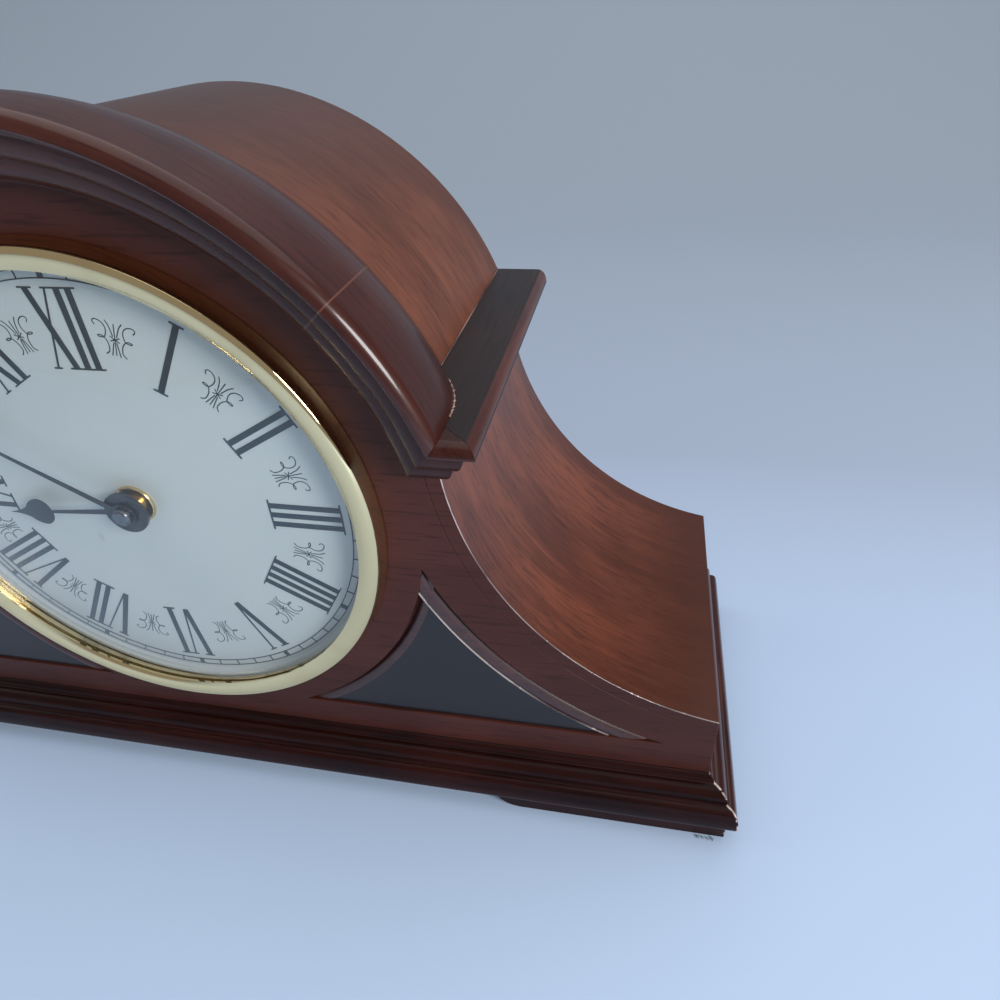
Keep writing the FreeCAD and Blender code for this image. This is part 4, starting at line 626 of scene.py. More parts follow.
def round_over(shape: bmesh.types.BMesh, width: float, sharp: float, edge: int = -1) -> None:
    """Rounds every arris of a shape.

    Args:
        shape: The mesh.
        width: The rounding in millimetres.
        sharp: The angle in degrees past which an edge is rounded.
        edge: The material index of the rounding, or -1 for its neighbours'.
    """
    arrises = [item for item in shape.edges
               if len(item.link_faces) == 2 and item.calc_face_angle(0.0) > math.radians(sharp)]
    bmesh.ops.bevel(shape, geom=arrises, offset=width * MM, offset_type="OFFSET", affect="EDGES",
                    segments=3, profile=0.5, material=edge, clamp_overlap=True)
    bmesh.ops.recalc_face_normals(shape, faces=shape.faces)


def cut_off(shape: bmesh.types.BMesh, cuts: Cuts) -> None:
    """Cuts a closed shape off past planes and closes it again.

    Args:
        shape: The mesh.
        cuts: A point and an outward normal of each plane, in metres.
    """
    for point, normal in cuts:
        cut = bmesh.ops.bisect_plane(shape, geom=shape.verts[:] + shape.edges[:] + shape.faces[:], dist=1e-7,
                                     plane_co=point, plane_no=normal, clear_outer=True, clear_inner=False)
        rim = [item for item in cut["geom_cut"] if isinstance(item, bmesh.types.BMEdge)]
        bmesh.ops.holes_fill(shape, edges=rim, sides=0)
    bmesh.ops.recalc_face_normals(shape, faces=shape.faces)


def turned(profile: list[Point], centre: Spot, steps: int) -> bmesh.types.BMesh:
    """A ring turned about an axis along Y.

    Args:
        profile: Radius and depth of each point of its closed section, in millimetres.
        centre: A point on the axis, in metres.
        steps: The number of steps round the axis.

    Returns:
        The mesh.
    """
    shape = bmesh.new()
    middle = Vector(centre)
    points = [shape.verts.new(middle + Vector((radius * MM, depth * MM, 0.0))) for radius, depth in profile]
    lines = [shape.edges.new(pair) for pair in zip(points, points[1:] + points[:1])]
    bmesh.ops.spin(shape, geom=points + lines, cent=middle, axis=BACKWARD, dvec=(0.0, 0.0, 0.0),
                   angle=2.0 * math.pi, steps=steps, use_merge=True, use_normal_flip=False,
                   use_duplicate=False)
    bmesh.ops.remove_doubles(shape, verts=shape.verts, dist=1e-7)
    bmesh.ops.recalc_face_normals(shape, faces=shape.faces)
    return shape


def run(outline: list[Spot], along: Spot, cuts: Cuts) -> bmesh.types.BMesh:
    """A straight length of moulding.

    Args:
        outline: Its section's points, in metres.
        along: How far the section is drawn out, in metres.
        cuts: A point and a normal of each plane past which it is cut off.

    Returns:
        The mesh.
    """
    shape = bmesh.new()
    face = shape.faces.new([shape.verts.new(point) for point in outline])
    drawn = bmesh.ops.extrude_face_region(shape, geom=[face], use_keep_orig=True)
    moved = [item for item in drawn["geom"] if isinstance(item, bmesh.types.BMVert)]
    bmesh.ops.translate(shape, vec=along, verts=moved)
    cut_off(shape, cuts)
    return shape


def drawn_lines(routes: list[list[tuple[float, float, float, float]]], radius: float, roundness: int,
                steps: int) -> bmesh.types.BMesh:
    """Thin round lines along smooth routes.

    Args:
        routes: X, Y and Z in metres of each route's points, and the share of the radius there.
        radius: The lines' radius in millimetres.
        roundness: How finely the lines are round.
        steps: The number of steps between two points.

    Returns:
        The mesh.
    """
    drawing = bpy.data.curves.new("lines", "CURVE")
    drawing.dimensions = "3D"
    drawing.bevel_depth = radius * MM
    drawing.bevel_resolution = roundness
    drawing.resolution_u = steps
    for route in routes:
        spline = drawing.splines.new("NURBS")
        spline.points.add(len(route) - 1)
        for point, (*place, share) in zip(spline.points, route):
            point.co = (*place, 1.0)
            point.radius = share
        spline.order_u = 3
        spline.use_endpoint_u = True
    holder = bpy.data.objects.new("lines", drawing)
    mesh = bpy.data.meshes.new_from_object(holder)
    shape = bmesh.new()
    shape.from_mesh(mesh)
    bpy.data.objects.remove(holder)
    bpy.data.curves.remove(drawing)
    bpy.data.meshes.remove(mesh)
    return shape


@dataclass(frozen=True)
class Section:
    """A moulding's section: reach and height in millimetres, then the bulge of the way to the next point."""

    line: Rows

    def points(self, steps: int = 7) -> list[Point]:
        """The section's outline with its arcs in steps.

        Args:
            steps: The number of steps of each arc.

        Returns:
            Reach and height of each point.
        """
        made = []
        for (reach, height, bulge), (far, high, _) in zip(self.line, self.line[1:] + self.line[:1]):
            made.append((reach, height))
            if bulge:
                start, end = Vector((reach, height)), Vector((far, high))
                half = 2.0 * math.atan(bulge)
                chord = end - start
                centre = (start + end) / 2.0 + Vector((-chord.y, chord.x)) / (2.0 * math.tan(half))
                for step in range(1, steps):
                    spoke = (start - centre).copy()
                    spoke.rotate(Matrix.Rotation(2.0 * half * step / steps, 2))
                    made.append(tuple(centre + spoke))
        return made


def shares(rows: Rows, reach: float, start: float, height: float) -> Rows:
    """Scales a section's shares.

    Args:
        rows: Reach and height as shares, and the bulge.
        reach: The full reach.
        start: The height of share zero.
        height: The full height, negative for shares that run down.

    Returns:
        The same rows in millimetres.
    """
    return tuple((share * reach, start + level * height, bulge) for share, level, bulge in rows)


# Sections as rows of reach, height and bulge: shares of the moulding's size, or millimetres for the
# roll, the lip and the cove, whose reach runs into the depth and whose height is added to a radius.
NOSE_ROWS = ((0.245, 1.0, 0.0), (0.245, 0.98, 0.35), (0.511, 0.665, 0.0), (0.564, 0.649, 0.3),
             (0.739, 0.33, -0.3), (0.984, 0.215, 0.0), (1.0, 0.19, 0.38), (0.81, 0.0, 0.0))
BASE_ROWS = ((0.86, 0.0, 0.25), (0.985, 0.11, 0.10), (0.915, 0.40, 0.36), (0.70, 0.535, -0.45),
             (0.61, 0.585, 0.40), (0.285, 0.83, -0.45), (0.15, 0.885, 0.22), (0.0, 0.97, 0.0), (0.0, 1.0, 0.0))
ROLL_ROWS = ((3.2, -0.3, 0.0), (3.0, 0.9, -0.50), (1.1, 7.0, 0.0), (3.2, 7.5, 0.0))
LIP_ROWS = ((0.75, 6.95, 0.0), (0.75, 7.4, 0.0), (1.6, 7.4, 0.0), (1.6, 6.95, 0.0))
COVE_ROWS = ((3.2, -0.3, 0.0), (2.9, 0.8, -0.30), (0.85, 4.6, 0.0), (3.2, 4.8, 0.0))

# Radius and depth of the bezel ring's section, in millimetres.
BEZEL_PROFILE = [
    (84.4, -0.3), (89.0, -0.3), (88.9, -1.6), (88.0, -5.5), (87.75, -6.1), (87.35, -6.5), (86.6, -6.85),
    (85.5, -7.0), (84.5, -6.95), (83.4, -6.7), (82.3, -6.2), (81.1, -5.6), (81.1, -4.9), (84.4, -4.9)]

# The right half of a scroll ornament, and the strokes in its middle: across and outward, in millimetres.
SCROLL_STROKES = (
    ((3.2, 0.1), (2.5, 1.5), (2.7, 3.6), (3.9, 4.9), (5.8, 5.2), (6.7, 4.1), (5.7, 3.3)),
    ((3.3, 0.1), (2.3, -0.9), (1.9, -3.1), (2.1, -4.5), (3.2, -5.2)),
    ((3.2, 0.1), (4.0, 0.5), (5.1, 0.3), (5.3, -0.1), (4.2, -0.3), (3.2, 0.1)),
    ((0.6, 0.9), (1.1, 2.8), (1.7, 4.5), (2.6, 5.6)),
    ((0.4, -0.8), (0.8, -2.6), (1.0, -4.0), (1.3, -5.3)),
    ((0.0, 0.0), (0.5, 0.3), (1.0, 0.6), (1.5, 0.9)),
    ((0.0, 0.0), (0.5, -0.2), (1.0, -0.5), (1.4, -0.7)),
)
MIDDLE_STROKES = (
    ((0.0, -5.0), (0.0, -2.5), (0.0, 2.5), (0.0, 5.0)),
    ((-0.5, 0.0), (-0.2, 0.4), (0.2, -0.4), (0.5, 0.0)),
)


class Workshop:
    """Adds pieces to the scene and hangs each on its body."""

    WELD = 2e-6
    FLAT_ANGLE = 0.8
    FACE_WEIGHT = 60

    def __init__(self, frame: dict[str, object], finishes: Finishes) -> None:
        """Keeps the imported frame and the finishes.

        Args:
            finishes: The finished materials.
        """
        self.nodes = frame["nodes"]
        self.slots = {part["node"]: part["material_slot"] for part in frame["record"]["subparts"]}
        self.finishes = finishes

    def dress(self, finish: str, *names: str) -> None:
        """Gives CAD nodes that stay a finish.

        Args:
            finish: The finish's name.
            names: The nodes.
        """
        for name in names:
            node = self.nodes[name]
            if not node.material_slots:
                node.data.materials.append(None)
            for slot in node.material_slots:
                slot.link = "OBJECT"
                slot.material = self.finishes[finish]
            log.info("dressed %s in %s", name, finish)

    def add(self, shape: bmesh.types.BMesh, name: str, body: str, slot: str, finishes: tuple[str, ...],
            stands_for: tuple[str, ...] = (), sharp: float = TURNED_ANGLE, weigh: bool = True) -> None:
        """Makes an object of a shape.

        Args:
            shape: The mesh, which is freed.
            name: The piece's name.
            body: The body it rides on.
            slot: The record's material slot; not used.
            finishes: The names of its finishes, by material index.
            stands_for: The CAD nodes that it replaces.
            sharp: The angle in degrees past which an edge stays sharp.
            weigh: Whether large faces set the normals.
        """
        mesh = bpy.data.meshes.new(name)
        shape.to_mesh(mesh)
        shape.free()
        mesh.shade_smooth()
        mesh.set_sharp_from_angle(angle=math.radians(sharp))
        for finish in finishes:
            mesh.materials.append(self.finishes[finish])
        piece = bpy.data.objects.new(name, mesh)
        bpy.context.scene.collection.objects.link(piece)
        if weigh:
            level = piece.modifiers.new("level_normals", "WEIGHTED_NORMAL")
            level.keep_sharp = True
            level.weight = self.FACE_WEIGHT
        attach(piece, body)
        if stands_for:
            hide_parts(*stands_for)
        log.info("made %s on %s with %d faces", name, body, len(mesh.polygons))

    def wood(self, shape: bmesh.types.BMesh, name: str, finishes: tuple[str, ...],
             stands_for: tuple[str, ...] = (), weigh: bool = True) -> None:
        """Makes a piece of the case's solid wood."""
        self.add(shape, name, "case", "mahogany", finishes, stands_for, TURNED_ANGLE, weigh)

    def eased(self, node: str, width: float, sharp: float = ARRIS_ANGLE, edge: int = -1,
              worn_and_highlit_to: float = 1.0) -> bmesh.types.BMesh:
        """A copy of a CAD node with its arrises rounded.

        Args:
            node: The node.
            width: The rounding in millimetres.
            sharp: The angle in degrees past which an edge is rounded.
            edge: The material index of the rounding, or -1 for its neighbours'.
            worn_and_highlit_to: The depth in metres past which the rounding keeps the first finish instead of
                the worn edge with its painted highlight.

        Returns:
            The mesh.
        """
        shape = bmesh.new()
        shape.from_mesh(self.nodes[node].data)
        bmesh.ops.remove_doubles(shape, verts=shape.verts, dist=self.WELD)
        bmesh.ops.dissolve_limit(shape, angle_limit=math.radians(self.FLAT_ANGLE),
                                 use_dissolve_boundaries=False, verts=shape.verts, edges=shape.edges,
                                 delimit=set())
        round_over(shape, width, sharp, edge)
        for face in shape.faces:
            if face.calc_center_median().y > worn_and_highlit_to:
                face.material_index = 0
        return shape

    def ease(self, node: str, body: str, finishes: tuple[str, ...], width: float,
             sharp: float = ARRIS_ANGLE, edge: int = -1) -> None:
        """Replaces a CAD node by its eased copy, with the arguments of add and eased."""
        self.add(self.eased(node, width, sharp, edge), f"{node}_shaped", body, self.slots[node], finishes,
                 (node,), ARRIS_ANGLE)


@dataclass
class Mouldings:
    """The crown with its ears and ledges, and the base moulding; lengths in millimetres."""

    shop: Workshop
    crown_radius: float = 122.2
    crown_inner: float = 102.8
    crown_high: float = 19.4
    crown_nose: float = 18.8
    crown_back: float = 26.0
    crown_steps: int = 256
    flare: Point = (4.0, 0.16)
    lacquer_reach: float = 0.78
    lacquer_depth: float = 4.2
    mitre_low: Point = (100.05, 155.6)
    mitre_high: Point = (114.4, 175.0)
    ear_start: float = 80.0
    ear_length: float = 50.0
    ledge_top: float = 175.0
    ledge_face: float = 105.7
    ledge_inner: float = 96.0
    highlight_slope: Point = (0.25, 0.2)
    corner_radius: float = 5.0
    corner_steps: int = 7
    crown_arris: float = 0.25
    ledge_arris: float = 0.4
    crown_angle: float = 28.0
    base_low: float = 10.0
    base_high: float = 18.8
    base_nose: float = 11.9
    base_arris: float = 0.2
    base_angle: float = 30.0
    glue_radius: float = 0.36
    glue_thinnest: float = 0.15
    glue_lift: float = 0.05
    cover_gap: float = 0.1
    cover_width: float = 0.35
    foot_width: float = 0.75
    foot_from: float = -55.0
    foot_length: float = 29.0
    foot_reach: float = 10.5
    foot_bend: float = 2.2
    seam_under: float = 0.3
    seam_over: float = 0.12
    seam_half: float = 0.15
    seam_steps: int = 192

    def build(self) -> None:
        """Runs every moulding."""
        self.crown()
        self.ears_and_ledges()
        self.base()
        self.glue()
        self.cover_seam()

    def mitre(self, side: float, way: float) -> tuple[Spot, Spot]:
        """The plane in which the crown meets an ear.

        Args:
            side: One on the right, minus one on the left.
            way: One for a normal from the crown to the ear, minus one for the other way.

        Returns:
            A point and the normal.
        """
        (low_x, low_z), (high_x, high_z) = self.mitre_low, self.mitre_high
        return ((side * low_x * MM, 0.0, low_z * MM),
                (way * side * (high_z - low_z), 0.0, way * (low_x - high_x)))

    def crown(self) -> None:
        """Turns the crown round the arch, drops what lies under the dial's axis and mitres its ends."""
        rows = shares(NOSE_ROWS, self.crown_nose, self.crown_radius, -self.crown_high)
        reach, bulge = self.flare
        outline = Section(((-self.crown_back, self.crown_inner, 0.0),) + rows + (
            (reach, self.crown_radius, bulge), (-self.crown_back, ARCH_RADIUS, 0.0))).points()
        centre = (0.0, FACE * MM, DIAL_HEIGHT * MM)
        shape = turned([(height, -reach) for reach, height in outline], centre, self.crown_steps)
        cut_off(shape, (((0.0, 0.0, DIAL_HEIGHT * MM), DOWN),))
        cut_off(shape, tuple(self.mitre(side, 1.0) for _, side in SIDES))
        round_over(shape, self.crown_arris, self.crown_angle, 0)
        for face in shape.faces:
            spoke = (face.calc_center_median() - Vector(centre)) / MM
            face.material_index = int(-spoke.y > self.lacquer_reach * self.crown_nose and
                                      math.hypot(spoke.x, spoke.z) > self.crown_radius - self.lacquer_depth)
        self.shop.wood(shape, "crown_turned", ("crown_mahogany", "nose_lacquer"), ("crown_moulding",))

    def ears_and_ledges(self) -> None:
        """Runs the short front returns and the long ledges behind them."""
        rows = shares(NOSE_ROWS, self.crown_nose, self.ledge_top, -self.crown_high)
        inner = self.ledge_inner - self.ledge_face
        ear, ledge = (Section(((start, rows[0][1], 0.0),) + rows + ((start, self.ledge_top, 0.0),)).points()
                      for start in (0.0, inner))
        slope_out, slope_up = self.highlight_slope
        for name, side in SIDES:
            corner = (side * self.ledge_face * MM, FACE * MM, 0.0)
            shape = run([(side * self.ear_start * MM, (FACE - reach) * MM, height * MM)
                         for reach, height in ear], (side * self.ear_length * MM, 0.0, 0.0),
                        (self.mitre(side, -1.0), (corner, (side, 1.0, 0.0))))
            round_over(shape, self.crown_arris, self.crown_angle, 1)
            self.shop.wood(shape, f"ear_{name}_run", ("crown_mahogany", "soft_edge"), (f"ear_moulding_{name}",))
            shape = run([(side * (self.ledge_face + reach) * MM, (FACE - self.crown_nose) * MM, height * MM)
                         for reach, height in ledge],
                        (0.0, (BACK - FACE + self.crown_nose) * MM, 0.0),
                        ((corner, (-side, -1.0, 0.0)),) + self.far_corner(side))
            round_over(shape, self.ledge_arris, self.crown_angle, 1)
            # Painted highlight: faces that turn outward and up, towards the light, take the brighter red
            # finish.
            for face in shape.faces:
                face.material_index = int(side * face.normal.x > slope_out and face.normal.z > slope_up)
            self.shop.wood(shape, f"ledge_{name}_run", ("ledge_mahogany", "red_edge_highlight"), (f"ledge_{name}",))

    def far_corner(self, side: float) -> Cuts:
        """The planes that round a ledge's rear corner.

        Args:
            side: One for the right ledge, minus one for the left.

        Returns:
            A point and a normal of each plane.
        """
        x = self.ledge_face + self.crown_nose - self.corner_radius
        y = BACK - self.corner_radius
        cuts = []
        for step in range(1, self.corner_steps):
            turn = 0.5 * math.pi * step / self.corner_steps
            out = (side * math.cos(turn), math.sin(turn), 0.0)
            cuts.append(((side * x * MM + out[0] * self.corner_radius * MM,
                          (y + out[1] * self.corner_radius) * MM, 0.0), out))
        return tuple(cuts)

    def base(self) -> None:
        """Runs the base moulding round the front and both sides."""
        rows = shares(BASE_ROWS, self.base_nose, self.base_low, self.base_high)
        outline = Section(((0.0, self.base_low, 0.0),) + rows).points()
        reach = HALF_WIDTH + self.base_nose
        corners = {name: (side * HALF_WIDTH * MM, FACE * MM, 0.0) for name, side in SIDES}
        shape = run([(-reach * MM, (FACE - out) * MM, height * MM) for out, height in outline],
                    (2.0 * reach * MM, 0.0, 0.0),
                    tuple((corners[name], (side, 1.0, 0.0)) for name, side in SIDES))
        round_over(shape, self.base_arris, self.base_angle, 0)
        self.shop.wood(shape, "base_front_run", ("shaded_base_mahogany", "soft_edge"), ("base_moulding_front",))
        for name, side in SIDES:
            shape = run([(side * (HALF_WIDTH + out) * MM, (FACE - self.base_nose) * MM, height * MM)
                         for out, height in outline],
                        (0.0, (BACK - FACE + self.base_nose) * MM, 0.0),
                        ((corners[name], (-side, -1.0, 0.0)),))
            round_over(shape, self.base_arris, self.base_angle, 0)
            self.shop.wood(shape, f"base_{name}_run", ("side_mahogany", "soft_edge"),
                           (f"base_moulding_{name}",))

    def glue(self) -> None:
        """Lays the old glue, whose width wavers, along the joints of arch, crown and ledge."""
        spring = math.sqrt(ARCH_RADIUS ** 2 - (self.ledge_top - DIAL_HEIGHT) ** 2)
        cover = [(spring + self.cover_gap, depth, self.cover_width + waver(depth, (0.3, 1.7)))
                 for depth in range(-24, 69, 4)]
        foot = [(spring + self.foot_reach * (1.0 - share ** self.foot_bend) + waver(share, (0.35, 97.0)),
                 self.foot_from + self.foot_length * share,
                 self.foot_width + waver(share, (0.7, 61.0), (0.4, 151.0)))
                for share in (0.03 * step for step in range(26))]
        height = (self.ledge_top + self.glue_lift) * MM
        for name, side in SIDES:
            shape = drawn_lines([[(side * x * MM, y * MM, height, max(self.glue_thinnest, size))
                                  for x, y, size in route] for route in (cover, foot)],
                                self.glue_radius, roundness=1, steps=6)
            bmesh.ops.recalc_face_normals(shape, faces=shape.faces)
            self.shop.add(shape, f"joint_glue_{name}", "case", "mahogany", ("old_glue",), (), BOARD_ANGLE,
                          False)

    def cover_seam(self) -> None:
        """Turns the thin light line, worn and painted as a highlight, along which the arch's cover meets the
        crown.
        """
        low, high = ARCH_RADIUS - self.seam_under, ARCH_RADIUS + self.seam_over
        near, far = self.crown_back - self.seam_half, self.crown_back + self.seam_half
        shape = turned([(high, near), (high, far), (low, far), (low, near)],
                       (0.0, FACE * MM, DIAL_HEIGHT * MM), self.seam_steps)
        cut_off(shape, (((0.0, 0.0, self.ledge_top * MM), DOWN),))
        self.shop.wood(shape, "cover_seam", ("worn_and_highlit_edge",), weigh=False)


@dataclass
class Case:
    """The wooden case: front, covers, corner panels, feet and boards; lengths in millimetres."""

    shop: Workshop
    arris: float = 0.8
    fine_arris: float = 0.35
    cover_arris: float = 0.4
    board_arris: float = 0.3
    inlay_arris: float = 0.15
    worn_and_highlit_to: float = -49.0
    shoulder_x: float = 219.6
    shoulder_z: float = 167.3
    shoulder_radius: float = 111.8
    upper_edge: float = 2.0
    front_slope: float = -0.9
    cover: float = 5.0
    shoulder_margin: float = 14.2
    inlay_low: float = 41.7
    inlay_sunk: float = 1.1
    dial_margin: float = 100.3
    bead_near: float = 30.0
    bead_high: float = 117.0
    bead_far: float = 200.0
    bead_steps: int = 420
    worn_highlight_from: float = 180.0
    worn_highlight_slope: float = 0.35
    threads: int = 6
    thread_x: float = 198.5
    thread_y: float = -60.7
    thread_z: float = 0.45
    thread_pitch: float = 1.2
    thread_length: float = 1.3
    thread_radii: Point = (0.16, 0.10)
    thread_lift: float = 0.05

    def build(self) -> None:
        """Shapes and dresses the woodwork."""
        shop = self.shop
        shop.ease("front_panel", "case", ("panel_mahogany",), self.fine_arris)
        shop.ease("arch_cover", "case", ("arch_veneer",), self.fine_arris)
        shop.ease("bracket_feet", "case", ("shaded_base_mahogany", "soft_edge"), self.arris, edge=1)
        for side in ("left", "right"):
            self.shoulder(side)
            self.inlay(side)
            shop.ease(f"end_block_{side}", "case", ("side_mahogany",), self.arris)
        shop.ease("bottom_board", "case", ("backboard",), self.board_arris, BOARD_ANGLE)
        shop.dress("green_felt", "felt_pads")
        self.corner_beads()
        self.felt_threads()

    def shoulder(self, side: str) -> None:
        """Eases a shoulder cover; its end grain matches the front and only its front arris is worn and painted
        with a highlight.

        Args:
            side: "left" or "right".
        """
        # The front rounding takes the worn edge with its painted highlight.
        shape = self.shop.eased(f"shoulder_cover_{side}", self.cover_arris, edge=1, worn_and_highlit_to=self.worn_and_highlit_to * MM)
        for face in shape.faces:
            spot = face.calc_center_median() / MM
            apart = math.hypot(abs(spot.x) - self.shoulder_x, spot.z - self.shoulder_z)
            under = apart > self.shoulder_radius + self.upper_edge
            if face.normal.y < self.front_slope or (face.material_index == 1 and under):
                face.material_index = 2
        self.shop.add(shape, f"shoulder_cover_{side}_eased", "case", "veneer",
                      ("shoulder_veneer", "worn_and_highlit_edge", "panel_mahogany"), (f"shoulder_cover_{side}",))

    def inlay(self, side: str) -> None:
        """Sets a corner's dark inlay a little under the roll beside it.

        Args:
            side: "left" or "right".
        """
        shape = self.shop.eased(f"inlay_panel_{side}", self.inlay_arris)
        bmesh.ops.translate(shape, vec=(0.0, self.inlay_sunk * MM, 0.0), verts=shape.verts)
        self.shop.add(shape, f"inlay_panel_{side}_eased", "case", "black_inlay", ("dark_inlay",),
                      (f"inlay_panel_{side}",))

    def corner_beads(self) -> None:
        """Turns the roll, its light lip of worn edge with painted highlight, and the dial-side bead of each
        corner panel.
        """
        outer = self.shoulder_radius + self.cover + self.shoulder_margin
        for side_name, side in SIDES:
            wing = (side * self.shoulder_x * MM, FACE * MM, self.shoulder_z * MM)
            dial = (0.0, FACE * MM, DIAL_HEIGHT * MM)
            cuts = (((0.0, 0.0, self.inlay_low * MM), DOWN),
                    ((0.0, 0.0, self.bead_high * MM), UP),
                    ((side * self.bead_far * MM, 0.0, 0.0), (side, 0.0, 0.0)),
                    ((side * self.bead_near * MM, 0.0, 0.0), (-side, 0.0, 0.0)))
            for name, rows, radius, centre, steps, finishes in (
                    ("roll", ROLL_ROWS, outer, wing, 14, ("corner_bead", "worn_and_highlit_edge")),
                    ("lip", LIP_ROWS, outer, wing, 1, ("worn_and_highlit_edge",)),
                    ("cove", COVE_ROWS, self.dial_margin, dial, 8, ("corner_bead",))):
                outline = Section(shares(rows, 1.0, radius, 1.0)).points(steps)
                shape = turned([(height, depth) for depth, height in outline], centre, self.bead_steps)
                cut_off(shape, cuts)
                # Wear and painted highlight: the roll's upward faces near its outer end, where the light falls
                # on them, take the worn edge finish; the lip is all of that finish.
                for face in shape.faces:
                    chipped = abs(face.calc_center_median().x) / MM > self.worn_highlight_from
                    face.material_index = int(name == "roll" and chipped and face.normal.z > self.worn_highlight_slope)
                self.shop.wood(shape, f"corner_{name}_{side_name}", finishes,
                               (f"inlay_frame_{side_name}",) if name == "roll" else (), False)

    def felt_threads(self) -> None:
        """Lets a few threads of the felt stick out under the front feet, each turned its own way."""
        thick, thin = self.thread_radii
        for name, side in SIDES:
            shape = bmesh.new()
            for number in range(self.threads):
                x = self.thread_x + self.thread_pitch * number + waver(number, (0.6, 5.0))
                y = self.thread_y - waver(number, (0.4, 3.0))
                level, aside = 90.0 - waver(number, (8.0, 2.0)), waver(number, (38.0, 7.0))
                bmesh.ops.create_cone(
                    shape, segments=6, radius1=thick * MM, radius2=thin * MM, depth=self.thread_length * MM,
                    cap_ends=True, matrix=Matrix.Translation((side * x * MM, y * MM, self.thread_z * MM))
                    @ Matrix.Rotation(math.radians(level), 4, "X")
                    @ Matrix.Rotation(math.radians(aside), 4, "Y"))
            lift = max(0.0, self.thread_lift * MM - min(vert.co.z for vert in shape.verts))
            bmesh.ops.translate(shape, vec=(0.0, 0.0, lift), verts=shape.verts)
            self.shop.add(shape, f"felt_threads_{name}", "case", "felt", ("green_felt",), weigh=False)


@dataclass
class Bezel:
    """The hinged brass ring with its glass."""

    shop: Workshop
    steps: int = 288

    def build(self) -> None:
        """Turns the ring and dresses the glass, gasket and hinge."""
        ring = turned(BEZEL_PROFILE, (0.0, FACE * MM, DIAL_HEIGHT * MM), self.steps)
        self.shop.add(ring, "bezel_ring_turned", "bezel", "brass", ("bright_brass",), ("bezel_ring",))
        self.shop.dress("domed_glass", "bezel_glass")
        self.shop.dress("plain_brass", "glass_gasket", "bezel_hinge")


@dataclass
class Dial:
    """The white dial with its print; lengths in millimetres."""

    shop: Workshop
    face: float = -49.0
    ornament_radius: float = 61.0
    line: float = 0.19
    flatness: float = 0.5
    first_turn: float = 15.0
    turn: float = 30.0

    def ornaments(self) -> None:
        """Draws the twelve small scrolls that stand between the numerals."""
        mirrored = tuple(tuple((-across, along) for across, along in stroke) for stroke in SCROLL_STROKES)
        routes = []
        for hour in range(12):
            turn = Matrix.Rotation(math.radians(self.first_turn + self.turn * hour), 3, "Y")
            for stroke in SCROLL_STROKES + mirrored + MIDDLE_STROKES:
                routes.append([(*(turn @ Vector((across * MM, 0.0, (self.ornament_radius + along) * MM))), 1.0)
                               for across, along in stroke])
        shape = drawn_lines(routes, self.line, roundness=0, steps=4)
        bmesh.ops.scale(shape, vec=(1.0, self.flatness, 1.0), verts=shape.verts)
        bmesh.ops.translate(shape, vec=(0.0, self.face * MM, DIAL_HEIGHT * MM), verts=shape.verts)
        bmesh.ops.recalc_face_normals(shape, faces=shape.faces)
        self.shop.add(shape, "scroll_ornaments", "case", "dial_ink", ("dial_print",), (), BOARD_ANGLE, False)

    def build(self) -> None:
        """Dresses the plate and its print, and adds the ornaments."""
        self.shop.dress("dial_enamel", "dial_plate")
        self.shop.dress("dial_print", "dial_numerals", "minute_track")
        self.shop.dress("backboard", "dial_board")
        self.ornaments()


@dataclass
class Hands:
    """The two spade hands and what holds them."""

    shop: Workshop

    def build(self) -> None:
        """Eases the hands' edges and dresses their bosses."""
        self.shop.ease("minute_hand", "minute_arbor", ("hand_paint",), 0.08)
        self.shop.ease("hour_hand", "hour_pipe", ("hand_paint",), 0.08)
        self.shop.ease("hand_nut", "minute_arbor", ("dark_steel",), 0.2)
        self.shop.ease("bush_nut", "case", ("plain_brass",), 0.12, TURNED_ANGLE)
        self.shop.dress("plain_brass", "centre_bush", "cannon_pinion", "hour_wheel", "minute_wheel")


@dataclass
class Movement:
    """The battery movement behind the dial."""

    shop: Workshop

    def build(self) -> None:
        """Dresses the movement's pieces."""
        shop = self.shop
        for node, body, width in (("movement_case", "case", 0.3), ("movement_cover", "case", 0.3),
                                  ("set_knob", "setting", 0.4), ("volume_knob", "volume", 0.3),
                                  ("chime_selector", "selector", 0.25)):
            shop.ease(node, body, ("black_plastic",), width, CASING_ANGLE)
        shop.ease("circuit_board", "case", ("solder_mask",), 0.1)
        shop.ease("battery_pair", "case", ("cell_jacket",), 0.4, CASING_ANGLE)
        shop.dress("copper_wire", "motor_coil")
        shop.dress("plain_steel", "motor_stator", "motor_rotor", "battery_contacts", "movement_screws")
        shop.dress("plain_brass", "second_wheel")


@dataclass
class Back:
    """The back panel, its door and the speaker inside."""

    shop: Workshop

    def build(self) -> None:
        """Dresses the back."""
        shop = self.shop
        shop.ease("back_panel", "case", ("backboard",), 0.4, BOARD_ANGLE)
        shop.ease("back_door", "door", ("backboard",), 0.4, BOARD_ANGLE)
        shop.ease("door_magnet", "case", ("black_plastic",), 0.3)
        shop.dress("bright_brass", "door_knob")
        shop.dress("plain_brass", "door_hinges", "door_hinge_leaves")
        shop.dress("plain_steel", "back_panel_screws", "speaker_magnet")
        shop.dress("dark_steel", "speaker_frame")
        shop.dress("speaker_paper", "speaker_cone")


